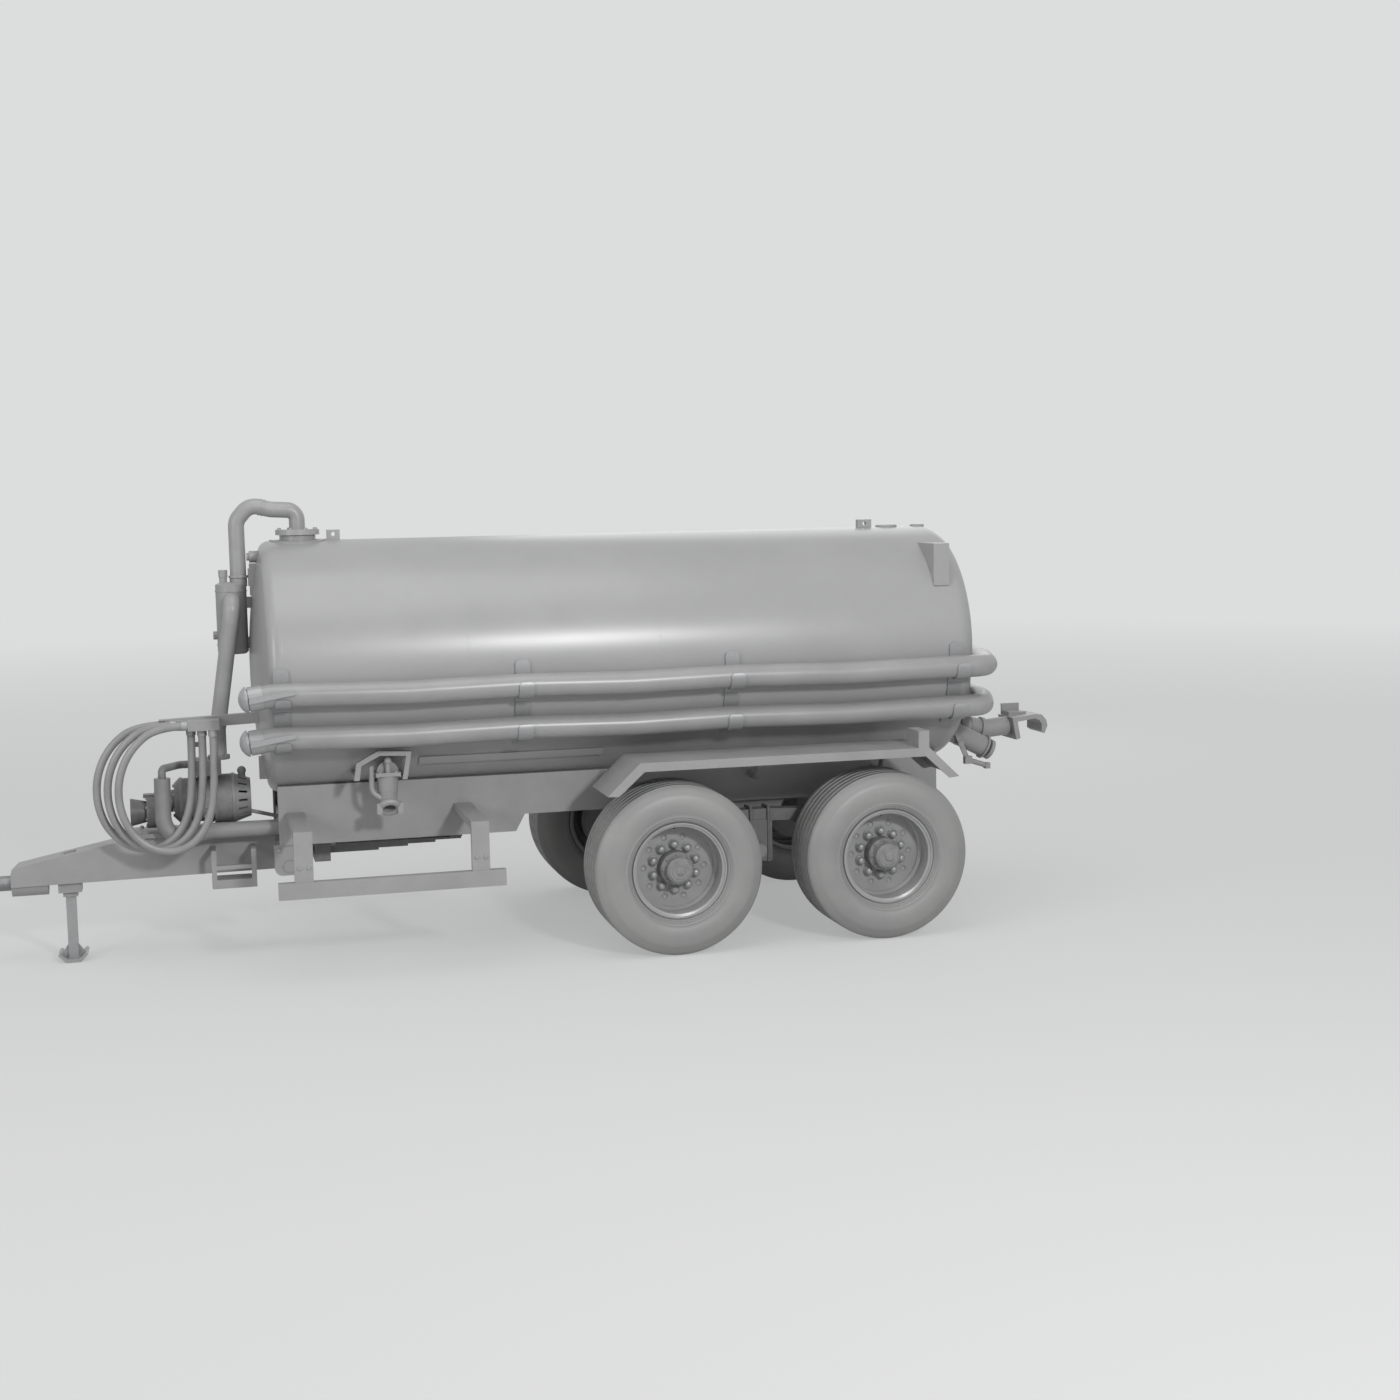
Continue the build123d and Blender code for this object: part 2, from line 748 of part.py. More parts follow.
gearbox_length = 110
gearbox_radius = 105
pto_radius = 17.45
pto_length = 85
gearbox_z = pump_axis_z - 60
gearbox_front_x = pump_front_x - gearbox_length - 60
gearbox_rear_x = gearbox_front_x + gearbox_length
gearbox_neck_radius = 70
gearbox = rod((gearbox_front_x, 0, gearbox_z), (gearbox_rear_x, 0, gearbox_z), gearbox_radius)
gearbox += rod((gearbox_rear_x - 1, 0, pump_axis_z), (pump_front_x, 0, pump_axis_z), gearbox_neck_radius)
# oil filler block on the gearbox
oil_block_half = 38
oil_block_top_z = gearbox_z + gearbox_radius + 6
gearbox += block(
    gearbox_front_x - 20, gearbox_front_x + 48, -oil_block_half, oil_block_half, gearbox_z + 92, oil_block_top_z
)
gearbox += rod((gearbox_front_x - pto_length, 0, gearbox_z), (gearbox_front_x + 1, 0, gearbox_z), pto_radius)
save("pump_gearbox", gearbox)

guard_length = 100
guard_mouth_radius = 88
guard_root_radius = 66
guard_wall = 5
pto_guard = turned(
    [
        (0, guard_root_radius - guard_wall),
        (0, guard_root_radius),
        (guard_length, guard_mouth_radius),
        (guard_length, guard_mouth_radius - guard_wall),
    ],
    (gearbox_front_x, 0, gearbox_z),
    (-1, 0, 0),
)
save("pto_guard", pto_guard)

pump_hose_y = -205
pump_hose_x = -3757
pump_hose_top_z = 1150
cross_front_x = cross_table[0][0] - cross_half

# change-over valve on top of the pump, with its foot, pipe flange, elbow and lever post
valve_x0 = -3590
valve_x1 = -3395
valve_y0 = -135
valve_y1 = 60
valve_z0 = pump_axis_z + pump_drum_radius + 10
valve_z1 = 1238
valve_foot_x = -3500
valve_foot_radius = 45
pipe_flange_radius = 68
elbow_radius = 24
elbow_z = valve_z1 - 30
post_x = -3508
post_y = -95
post_radius = 20
post_top_z = 1340
valve_lever = 75
pump_valve = block(valve_x0, valve_x1, valve_y0, valve_y1, valve_z0, valve_z1)
pump_valve += rod((down_pipe_foot[0], down_pipe_foot[1], valve_z1 - 1), down_pipe_foot, pipe_flange_radius)
foot_room = rod((pump_front_x, 0, pump_axis_z), (pump_drum_x, 0, pump_axis_z), pump_body_radius + seat_gap)
foot_room += rod((pump_drum_x, 0, pump_axis_z), (pump_cowl_x, 0, pump_axis_z), pump_drum_radius + seat_gap)
pump_valve += rod((valve_foot_x, 0, pump_axis_z), (valve_foot_x, 0, valve_z0 + 1), valve_foot_radius) - foot_room
elbow_y = (valve_y0 + valve_y1) / 2
elbow_points = [
    (valve_x0 + 20, elbow_y, elbow_z),
    (valve_x0 - 60, elbow_y, elbow_z),
    (pump_hose_x, pump_hose_y, elbow_z),
    (pump_hose_x, pump_hose_y, pump_hose_top_z + seat_gap),
]
pump_valve += tube(elbow_points, elbow_radius, bend_radii(elbow_points, 0.48, 60))
pump_valve += rod((post_x, post_y, valve_z1 - 1), (post_x, post_y, post_top_z), post_radius)
pump_valve += block(post_x - valve_lever, post_x + 10, post_y - 10, post_y + 10, post_top_z - 16, post_top_z + 14)
save("pump_valve", pump_valve)

pump_hose_points = [
    (pump_hose_x, pump_hose_y, pump_hose_top_z),
    (pump_hose_x - 5, pump_hose_y, 860),
    (-3690, pump_hose_y, 756),
    (-3480, pump_hose_y, 800),
    (cross_front_x, pump_hose_y, 800),
]
pump_hose = tube(pump_hose_points, pipe_radius, bend_radii(pump_hose_points, 0.48, 160))
# drain pipe from the cowl's rear end to the first cross member
drain_pipe_y = -60
drain_pipe_radius = 12
cowl_drain = rod((pump_rear_x - 60, drain_pipe_y, 908), (cross_front_x + 60, drain_pipe_y, 830), drain_pipe_radius)
cowl_drain &= block(pump_rear_x + seat_gap, cross_front_x - seat_gap, -base_half, 0, base_top_z, pump_axis_z)
save("pump_hose", pump_hose, cowl_drain)

# bogie: centre hangers with the trunnion, leaf packs, axles

trunnion_z = 520
trunnion_radius = 45
hanger_y0 = 318
hanger_y1 = 348
hanger_outline = [(-260, rail_shallow_z), (-80, 440), (80, 440), (260, rail_shallow_z)]
hangers = rod((0, -spring_y - 70, trunnion_z), (0, spring_y + 70, trunnion_z), trunnion_radius)
hanger = plate_y(hanger_outline, hanger_y0, hanger_y1)
hangers = hangers + hanger + mirrored(hanger)
save("bogie_hangers", hangers)

spring_seat_z = 715
spring_drop = 70
spring_half_length = 775
leaf_step = 120


def leaf_drop(half):
    """Fall of the lowest leaf at a distance from the bogie's middle."""
    return spring_drop * (half / (axle_spacing / 2)) ** 2


def spring_leaf(half, z, y0, y1):
    """One curved leaf, its middle's underside at z."""
    fall = leaf_drop(half)
    outline = make_face([
        ThreePointArc((-half, y0, z - fall), (0, y0, z), (half, y0, z - fall)),
        Line((half, y0, z - fall), (half, y0, z - fall + leaf_thickness)),
        ThreePointArc(
            (half, y0, z - fall + leaf_thickness), (0, y0, z + leaf_thickness), (-half, y0, z - fall + leaf_thickness)
        ),
        Line((-half, y0, z - fall + leaf_thickness), (-half, y0, z - fall)),
    ])
    return extrude(outline, amount=y1 - y0, dir=(0, 1, 0))


spring_y0 = spring_y - spring_width / 2
spring_y1 = spring_y + spring_width / 2
leaf_pack = spring_leaf(spring_half_length, spring_seat_z, spring_y0, spring_y1)
for number in range(1, leaf_count):
    leaf_pack += spring_leaf(
        spring_half_length - number * leaf_step, spring_seat_z + number * leaf_thickness, spring_y0, spring_y1
    )
saddle_half = 85
saddle_top_z = spring_seat_z + leaf_thickness / 2
saddle = block(-saddle_half, saddle_half, spring_y0 - 10, spring_y1 + 10, trunnion_z - 70, saddle_top_z)
trunnion_room = rod((0, 0, trunnion_z), (0, overall_width, trunnion_z), trunnion_radius + running_gap)
saddle -= trunnion_room
leaf_pack += saddle
save("leaf_springs", leaf_pack, mirrored(leaf_pack))

spindle_base = drum_width + 35
axle_half_length = half_track - spindle_base
spindle_length = spindle_base + 100
seat_half = 70
back_plate = 12
back_plate_radius = drum_radius - 12


def axle(middle_x):
    """Square beam with a spindle at each end and a seat under each leaf pack."""
    half = axle_beam / 2
    beam = block(middle_x - half, middle_x + half, -axle_half_length, axle_half_length, axle_z - half, axle_z + half)
    inner = abs(middle_x) - seat_half
    outer = abs(middle_x) + seat_half
    sign = 1 if middle_x > 0 else -1
    seat_outline = [
        (sign * inner, axle_z + half - 1),
        (sign * outer, axle_z + half - 1),
        (sign * outer, spring_seat_z - leaf_drop(outer) - seat_gap),
        (sign * inner, spring_seat_z - leaf_drop(inner) - seat_gap),
    ]
    seat = plate_y(seat_outline, spring_y0 - 10, spring_y1 + 10)
    end = turned(
        [
            (0, 0),
            (0, back_plate_radius),
            (back_plate, back_plate_radius),
            (back_plate, spindle_radius),
            (spindle_length, spindle_radius),
            (spindle_length, 0),
        ],
        (middle_x, axle_half_length - 1, axle_z),
        (0, 1, 0),
    )
    return beam + seat + mirrored(seat) + end + mirrored(end)


save("axle_front", axle(-axle_spacing / 2))
save("axle_rear", axle(axle_spacing / 2))

# wheels, described from the wheel's middle outwards along the axle: height, radius

bead_width = rim_half_width - 21
tyre_half = tyre_width / 2
tyre_radius = tyre_diameter / 2
half_tyre = [
    (bead_width, bead_radius + seat_gap),
    (bead_width + 6.5, rim_flange_radius + 1),
    (tyre_half - 16, 340),
    (tyre_half, 405),
    (tyre_half - 6, 460),
    (tyre_half - 22, tyre_radius - 31),
    (tyre_half - tyre_shoulder + 8, tyre_radius - 6),
    (tyre_half - tyre_shoulder - 18, tyre_radius),
]
tyre_steps = half_tyre + [(-h, r) for h, r in reversed(half_tyre)]

well = bead_radius - rim_well_depth
half_rim_outside = [
    (50, bead_radius),
    (bead_width + 1, bead_radius),
    (rim_half_width - 14, rim_flange_radius),
    (rim_half_width, rim_flange_radius),
]
half_rim_inside = [
    (rim_half_width, rim_flange_radius - rim_wall),
    (rim_half_width - 9, rim_flange_radius - rim_wall),
    (bead_width + 6, bead_radius - rim_wall),
    (56, bead_radius - rim_wall),
]
rim_steps = (
    [(35, well)]
    + half_rim_outside
    + half_rim_inside
    + [(41, well - rim_wall), (-51, well - rim_wall)]
    + [(-h - 10, r) for h, r in reversed(half_rim_inside) if h < rim_half_width / 2]
    + [(-h, r) for h, r in reversed(half_rim_inside) if h > rim_half_width / 2]
    + [(-h, r) for h, r in reversed(half_rim_outside) if h > rim_half_width / 2]
    + [(-h - 10, r) for h, r in reversed(half_rim_outside) if h < rim_half_width / 2]
    + [(-45, well)]
)


def wheel(middle_x, side):
    """Tyre, rim with its disc, and hub with its drum and nuts, all on one spindle."""
    base = (middle_x, side * half_track, axle_z)
    out = (0, side, 0)
    tyre = turned(tyre_steps, base, out)
    rim = turned(rim_steps, (0, 0, 0), (0, 0, 1))
    disc_inside = disc_offset - disc_thickness
    rim += turned(
        [
            (disc_inside, hub_radius + running_gap),
            (disc_inside, well - rim_wall + 2),
            (disc_offset, well - rim_wall + 2),
            (disc_offset, hub_radius + running_gap),
        ],
        (0, 0, 0),
        (0, 0, 1),
    )
    hole = Pos(0, 0, disc_offset) * Cylinder(hand_hole_radius, 4 * disc_thickness)
    for spot in PolarLocations(hand_hole_circle, wheel_nut_count, start_angle=180 / wheel_nut_count):
        rim -= spot * hole
    hub_end = disc_offset + hub_length
    cap_end = hub_end + hub_cap_length
    hub = turned(
        [
            (-drum_width - 10, spindle_radius + running_gap),
            (-drum_width - 10, 2 * spindle_radius),
            (-22, 2 * spindle_radius),
            (-22, drum_radius - 20),
            (-22 - drum_width, drum_radius - 20),
            (-22 - drum_width, drum_radius),
            (-8, drum_radius),
            (-8, hub_flange_radius),
            (disc_inside, hub_flange_radius),
            (disc_inside, hub_radius),
            (hub_end - 12, hub_radius),
            (hub_end, hub_radius - 12),
            (hub_end, hub_cap_radius),
            (cap_end - 14, hub_cap_radius),
            (cap_end, hub_cap_radius - 14),
            (cap_end, 0),
            (spindle_length - spindle_base + 8, 0),
            (spindle_length - spindle_base + 8, spindle_radius + running_gap),
        ],
        (0, 0, 0),
        (0, 0, 1),
    )
    nut = extrude(RegularPolygon(wheel_nut_size / 2, 6), wheel_nut_height)
    nuts = [Pos(0, 0, disc_offset) * (spot * nut) for spot in PolarLocations(wheel_nut_circle, wheel_nut_count)]
    there = Plane(origin=base, z_dir=out).location
    return tyre, there * rim, [there * piece for piece in [hub] + nuts]


# wheel name, axle place along X as a share of the spacing, side
wheel_table = [("front_left", -0.5, -1), ("front_right", -0.5, 1), ("rear_left", 0.5, -1), ("rear_right", 0.5, 1)]
for name, share, side in wheel_table:
    tyre, rim, hub_pieces = wheel(share * axle_spacing, side)
    save(f"tyre_{name}", tyre)
    save(f"rim_{name}", rim)
    save(f"hub_{name}", *hub_pieces)

# mudguards and their stays

mudguard_outer_y = overall_width / 2
mudguard_inner_y = half_track - 242
mudguard_top_z = 1225
mudguard_sheet = 6
mudguard_lip = 12
mudguard_outline = [
    (-1139, 1029),
    (-933, mudguard_top_z),
    (954, mudguard_top_z),
    (1156, 1031),
    (1090, 1024),
    (930, mudguard_top_z - 55),
    (-905, mudguard_top_z - 55),
    (-1070, 1024),
]
mudguard_pocket = [
    (-1160, 1000),
    (-930.5, mudguard_top_z - mudguard_sheet),
    (951.5, mudguard_top_z - mudguard_sheet),
    (1180, 1000),
    (1100, 900),
    (-1100, 900),
]
mudguard = plate_y(mudguard_outline, mudguard_inner_y, mudguard_outer_y)
mudguard -= plate_y(mudguard_pocket, mudguard_inner_y + mudguard_lip, mudguard_outer_y - mudguard_lip)
# lamp posts on the rear corners
post_front_x = 880
post_rear_x = 952
post_inner_y = mudguard_outer_y - 200
lamp_post_top_z = mudguard_top_z + 109
mudguard += block(
    post_front_x, post_rear_x, post_inner_y, mudguard_outer_y, mudguard_top_z - 1, lamp_post_top_z
)
save("mudguards", mudguard, mirrored(mudguard))

stay_radius = 20
stay_low_z = 1000
stay_high_z = mudguard_top_z - 30
stay_table = [-860, 0, 860]
stays = []
for stay_x in stay_table:
    stay_points = [
        (stay_x, rail_outer_y + seat_gap, stay_low_z),
        (stay_x, mudguard_inner_y - 190, stay_low_z),
        (stay_x, mudguard_inner_y - 70, stay_high_z),
        (stay_x, mudguard_inner_y - seat_gap, stay_high_z),
    ]
    stay = tube(stay_points, stay_radius, bend_radii(stay_points, 0.45, 60))
    stays += [stay, mirrored(stay)]
save("mudguard_stays", *stays)

# side guards

side_guard_outer_y = overall_width / 2 - 70
side_guard_depth = 50
side_guard_x0 = -3114
side_guard_x1 = -1762
side_guard_z0 = 515
side_guard_z1 = 615
side_guard_inner_y = side_guard_outer_y - side_guard_depth
guard_rail = block(
    side_guard_x0, side_guard_x1, side_guard_inner_y, side_guard_outer_y, side_guard_z0, side_guard_z1
)
save("side_guard_rails", guard_rail, mirrored(guard_rail))

# posts: front edge, rear edge
guard_post_table = [(-3019, -2909), (-1967, -1859)]
guard_post_top_z = 916
guard_arm_bottom_z = guard_post_top_z - 46
guard_posts = []
for x0, x1 in guard_post_table:
    post = block(x0, x1, side_guard_inner_y + 5, side_guard_outer_y - 5, side_guard_z1, guard_post_top_z)
    post += block(x0, x1, rail_outer_y, side_guard_outer_y - 5, guard_arm_bottom_z, guard_post_top_z)
    guard_posts += [post, mirrored(post)]
save("side_guard_posts", *guard_posts)

# suction hoses in their straps

hose_seat_radius = tank_radius + strap_thickness + 1 + suction_hose_radius
# strap middle along X, top edge of its hooks over the middle of the hose
strap_table = [(-3036, -18), (-1570, 25), (-220, 25), (1308, 25)]
hose_front_x = -3150
hose_nose_drop = 5
hose_sag = 12
strap_reach = 60
hose_corner_x = 1500
hose_knee_x = strap_table[0][0] - strap_width / 2 - 26
hose_turn = (tank_rear_x + 231, -420)
hose_behind = (tank_rear_x + 276, -60)
hose_end = (tank_rear_x + 260, 260)
hose_zs = {"upper": tank_axis_z - suction_hose_upper_drop, "lower": tank_axis_z - suction_hose_lower_drop}


def hose_y(z):
    """Distance of a hose's middle from the centre plane when it lies in the straps."""
    return (hose_seat_radius ** 2 - (z - tank_axis_z) ** 2) ** 0.5


def suction_hose_points(z):
    """Route along the left flank and round the rear end: x, y, z."""
    y = -hose_y(z)
    points = [(hose_front_x, y, z - hose_nose_drop), (hose_knee_x, y, z)]
    places = [middle for middle, rise in strap_table]
    for first, second in zip(places, places[1:]):
        points.append((first + strap_reach, y, z))
        points.append(((first + second) / 2, y, z - hose_sag))
        points.append((second - strap_reach, y, z))
    points.append((hose_corner_x, y, z))
    points.append((*hose_turn, z))
    points.append((*hose_behind, z - 3))
    points.append((*hose_end, z))
    return points


def hose_radii(points):
    """Easy bends along the flank and a tight one at the rear corner."""
    return bend_radii(points, 0.45, 900)


hose_room = []
for name, z in hose_zs.items():
    route = suction_hose_points(z)
    hose = tube(route, suction_hose_radius, hose_radii(route))
    hose_path = FilletPolyline(*route, radius=hose_radii(route))
    print("suction hose", name, round(hose_path.length), [round(r) for r in hose_radii(route)])
    print("volume share", hose.volume / (pi * suction_hose_radius ** 2 * hose_path.length))
    save(f"suction_hose_{name}", hose)
    hose_room.append(tube(route, suction_hose_radius + seat_gap, hose_radii(route)))

# front couplings with domed caps and their closing levers, rear couplings with plain rings
sleeve_length = 82
sleeve_grow = 3
groove_length = 8
groove_radius = suction_hose_radius - 6
cap_base_length = 9
cap_radius = suction_hose_radius + 7
cap_rise = 45
rear_coupling_length = 70
lever_y0 = suction_hose_radius + 1.5
lever_y1 = suction_hose_radius + 15.5
lever_rear_x = -2962
caps = []
for z in hose_zs.values():
    y = -hose_y(z)
    nose = Vector(hose_front_x, y, z - hose_nose_drop)
    ahead = Vector(hose_front_x - hose_knee_x, 0, -hose_nose_drop).normalized()
    groove_end = sleeve_length + groove_length
    cap = turned(
        [
            (0, 0),
            (0, suction_hose_radius + sleeve_grow),
            (sleeve_length, suction_hose_radius + sleeve_grow),
            (sleeve_length, groove_radius),
            (groove_end, groove_radius),
            (groove_end, cap_radius),
            (groove_end + cap_base_length, cap_radius),
            (groove_end + cap_base_length, 0),
        ],
        nose,
        ahead,
    )
    cap += dome(nose + ahead * (groove_end + cap_base_length - 0.5), ahead, cap_radius, cap_rise)
    lever_front_x = hose_front_x - sleeve_length
    lever_outline = [
        (lever_front_x, z - 36),
        (lever_front_x, z + 2),
        (lever_rear_x - 20, z + 36),
        (lever_rear_x, z + 30),
        (lever_rear_x, z + 12),
        (lever_rear_x - 20, z + 6),
    ]
    cap += plate_y(lever_outline, y - lever_y1, y - lever_y0)
    cap += block(lever_front_x, lever_front_x + 40, y - lever_y1, y - groove_radius, z - 32, z)
    caps.append(cap)
    rear_way = Vector(*hose_end) - Vector(*hose_behind)
    rear_end = Vector(*hose_end, z)
    rear_ahead = Vector(rear_way.X, rear_way.Y, 3).normalized()
    caps.append(rod(rear_end, rear_end + rear_ahead * rear_coupling_length, suction_hose_radius + sleeve_grow))
save("hose_caps", *caps)

straps = []
cradle_outer = suction_hose_radius + seat_gap + strap_thickness
band_reach = 50
band_bottom_z = hose_zs["lower"] - 120
band_top_z = hose_zs["upper"] + 110
hook_corner = 22
hook_depth = 200
for middle_x, rise in strap_table:
    x0 = middle_x - strap_width / 2
    x1 = middle_x + strap_width / 2
    band = rod((x0, 0, tank_axis_z), (x1, 0, tank_axis_z), tank_radius + strap_thickness)
    band -= rod((x0 - 1, 0, tank_axis_z), (x1 + 1, 0, tank_axis_z), tank_radius + seat_gap)
    band = band & block(x0, x1, -tank_radius - band_reach, 0, band_bottom_z, band_top_z)
    for z in hose_zs.values():
        y = -hose_y(z)
        contact_z = z + cradle_outer * (tank_axis_z - z) / hose_seat_radius
        hook = rod((x0, y, z), (x1, y, z), cradle_outer)
        keep = rounded_plate(x0, x1, y - hook_depth, y, z - hook_depth, z + rise, hook_corner)
        keep += block(x0, x1, y, y + hook_depth, z - hook_depth, max(z, contact_z))
        hook = hook & keep
        hook -= rod((x0 - 1, y, z), (x1 + 1, y, z), suction_hose_radius + seat_gap)
        band += hook - tank_room
    straps.append(band)

# notched plate that carries the hoses behind the rear end
rear_rest_y0 = 130
rear_rest_y1 = 150
rest = block(
    tank_rear_x, hose_behind[0] + 10, rear_rest_y0, rear_rest_y1, hose_zs["lower"] - 100, hose_zs["upper"] + 30
)
rest -= tank_room
for room in hose_room:
    rest -= room
straps.append(largest(rest))
save("hose_straps", *straps)

# side valve on the left flank

side_valve_x = -2407
side_valve_y = -0.8 * tank_radius
side_valve_z = tank_axis_z - 649
valve_plate_half = 76
valve_plate_thickness = 24
bonnet_radius = 66
bonnet_half = 20
valve_neck_radius = 69
valve_foot_z = side_valve_z - 119
valve_waist_radius = 60
valve_pipe_radius = 48
stem_y = side_valve_y - 52
stem_radius = 16
stem_top_z = side_valve_z + 95
stem_ball_radius = 23
ring_major = 54
ring_minor = 21
ring_reach = 112
ring_bore = 38
ear_width = 32

side_valve = block(
    side_valve_x - valve_plate_half,
    side_valve_x + valve_plate_half,
    side_valve_y - valve_plate_half,
    side_valve_y + valve_plate_half,
    side_valve_z,
    side_valve_z + valve_plate_thickness,
)
plate_top_z = side_valve_z + valve_plate_thickness
bonnet = rod(
    (side_valve_x, side_valve_y - bonnet_half, plate_top_z),
    (side_valve_x, side_valve_y + bonnet_half, plate_top_z),
    bonnet_radius,
)
side_valve += bonnet & block(
    side_valve_x - bonnet_radius,
    side_valve_x + bonnet_radius,
    side_valve_y - bonnet_half,
    side_valve_y + bonnet_half,
    plate_top_z - 1,
    plate_top_z + bonnet_radius,
)
side_valve += turned(
    [
        (0, 0),
        (0, valve_waist_radius),
        (100, valve_neck_radius - 3),
        (100, valve_neck_radius),
        (120, valve_neck_radius),
        (120, 0),
    ],
    (side_valve_x, side_valve_y, valve_foot_z),
    (0, 0, 1),
)
pipe_z = side_valve_z - 18
side_valve += rod((side_valve_x, side_valve_y, pipe_z), (side_valve_x, 0, pipe_z), valve_pipe_radius)
side_valve += rod((side_valve_x, stem_y, side_valve_z + 1), (side_valve_x, stem_y, stem_top_z), stem_radius)
side_valve += Pos(side_valve_x, stem_y, stem_top_z) * Sphere(stem_ball_radius)

# coupling that faces outwards and down, with its ring, two ears and the closing lever
mouth_way = Vector(0, -1, -1).normalized()
elbow_middle = Vector(side_valve_x, side_valve_y, valve_foot_z + 10)
mouth = elbow_middle + mouth_way * ring_reach
side_valve += rod(elbow_middle, mouth, ring_major)
side_valve += Pos(*elbow_middle) * Sphere(valve_waist_radius)
side_valve += Plane(origin=mouth, z_dir=mouth_way).location * Torus(ring_major, ring_minor)
side_valve -= rod(mouth - mouth_way * 60, mouth + mouth_way * ring_minor, ring_bore)
for way in (-1, 1):
    ear_x0 = side_valve_x + way * (ring_major - 6)
    ear_x1 = ear_x0 + way * ear_width
    side_valve += block(
        min(ear_x0, ear_x1), max(ear_x0, ear_x1), mouth.Y - 34, mouth.Y + 4, mouth.Z - 36, mouth.Z + 30
    )
lever_points = [
    (side_valve_x - 100, side_valve_y - 30, side_valve_z + 55),
    (side_valve_x - 100, side_valve_y - 30, side_valve_z - 95),
    (side_valve_x - 30, side_valve_y - 45, side_valve_z - 150),
]
side_valve += tube(lever_points, 17, bend_radii(lever_points, 0.45, 60))
side_valve += Pos(*lever_points[0]) * Sphere(17)
save("side_valve", largest(side_valve - tank_room))

# bent guard bar over the valve, with two stays back to the tank
guard_outer = [(-2618, -14), (-2600, 92), (-2466, 164), (-2262, 152), (-2292, -20)]
guard_inner = [(-2584, -14), (-2570, 75), (-2456, 134), (-2296, 126), (-2322, -20)]
guard_outline = guard_outer + guard_inner[::-1]
valve_guard = plate_y(
    [(x, side_valve_z + rise) for x, rise in guard_outline], side_valve_y - 80, side_valve_y - 40
)
for stay_x0, stay_x1, rise in ((-2616, -2588, 0), (-2318, -2290, 0)):
    valve_guard += block(
        stay_x0, stay_x1, side_valve_y - 60, 0, side_valve_z + rise - 10, side_valve_z + rise + 16
    )
save("side_valve_guard", largest(valve_guard - tank_room))

# rear outlet, deflector and lower outlet

outlet_z = tank_bottom_z + 186
outlet_radius = 66
outlet_flange_radius = 108
outlet_flange_x = tank_rear_x + 216
outlet_flange_thickness = 20
outlet = rod((tank_rear_x, 0, outlet_z), (outlet_flange_x, 0, outlet_z), outlet_radius) - tank_room
outlet = largest(outlet)
outlet += rod(
    (outlet_flange_x - outlet_flange_thickness, 0, outlet_z), (outlet_flange_x, 0, outlet_z), outlet_flange_radius
)
save("outlet_stub", outlet)

gate_thickness = 50
gate_half = 112
gate_bottom_z = outlet_z - 118
gate_top_z = outlet_z + 135
gate_rear_x = outlet_flange_x + gate_thickness
gate_corner = 30
gate = rounded_plate(-gate_half, gate_half, outlet_flange_x, gate_rear_x, gate_bottom_z, gate_top_z, gate_corner)
save("outlet_gate", Rot(0, 0, -90) * gate)

hood_half = 125
hood_front_x = rear_reach - 268
hood_top_z = tank_bottom_z + 242
# hood seen from the side: x from its front edge, z from its top
hood_form = [
    (0, 0),
    (30, -156),
    (62, -148),
    (40, -30),
    (172, -12),
    (204, -24),
    (224, -52),
    (224, -104),
    (246, -120),
    (268, -64),
    (256, -22),
    (222, 14),
    (172, 18),
]
hood_outline = [(hood_front_x + x, hood_top_z + z) for x, z in hood_form]
hood = plate_y(hood_outline, -hood_half, hood_half)
# folded bracket on the hood's top
fold_x0 = hood_front_x + 18
fold_x1 = hood_front_x + 152
hood += block(fold_x0, fold_x1, -20, hood_half - 5, hood_top_z + 1, hood_top_z + 30)
hood += block(fold_x0, fold_x1, hood_half - 20, hood_half - 5, hood_top_z + 1, hood_top_z + 78)
save("deflector", hood)

outlet_points = [
    (gate_rear_x, 0, outlet_z),
    (gate_rear_x + 50, 0, outlet_z),
    (gate_rear_x + 150, 0, outlet_z - 26),
    (hood_front_x + 10, 0, hood_top_z - 66),
]
pipe_ring_radius = 82
pipe_ring_x0 = gate_rear_x + 120
pipe_ring_x1 = gate_rear_x + 144
outlet_pipe = tube(outlet_points, outlet_radius, bend_radii(outlet_points, 0.45, 200))
outlet_pipe += rod(
    (gate_rear_x, 0, outlet_z), (gate_rear_x + outlet_flange_thickness, 0, outlet_z), outlet_flange_radius
)
outlet_pipe += rod((pipe_ring_x0, 0, outlet_z - 22), (pipe_ring_x1, 0, outlet_z - 26), pipe_ring_radius)
save("outlet_pipe", largest(outlet_pipe - hood))

stub_y = -200
stub_start = Vector(tank_rear_x + 56, stub_y, tank_bottom_z + 201)
stub_end = Vector(tank_rear_x + 341, stub_y, tank_bottom_z + 58)
stub_radius = 72
stub_way = (stub_end - stub_start).normalized()
stub_ring_radius = 84
stub_ring = 14
lid_gap = 24
lid_neck_radius = 26
lid_radius = 70
lid_thickness = 26
lower_outlet = largest(rod(stub_start, stub_end, stub_radius) - tank_room)
lower_outlet += rod(stub_end - stub_way * stub_ring, stub_end, stub_ring_radius)
lid_start = stub_end + stub_way * lid_gap
lid_end = lid_start + stub_way * lid_thickness
lower_outlet += rod(stub_end - stub_way, lid_end, lid_neck_radius)
lower_outlet += rod(lid_start, lid_end, lid_radius)
lower_outlet += dome(lid_end - stub_way * 0.5, stub_way, lid_radius, 14)

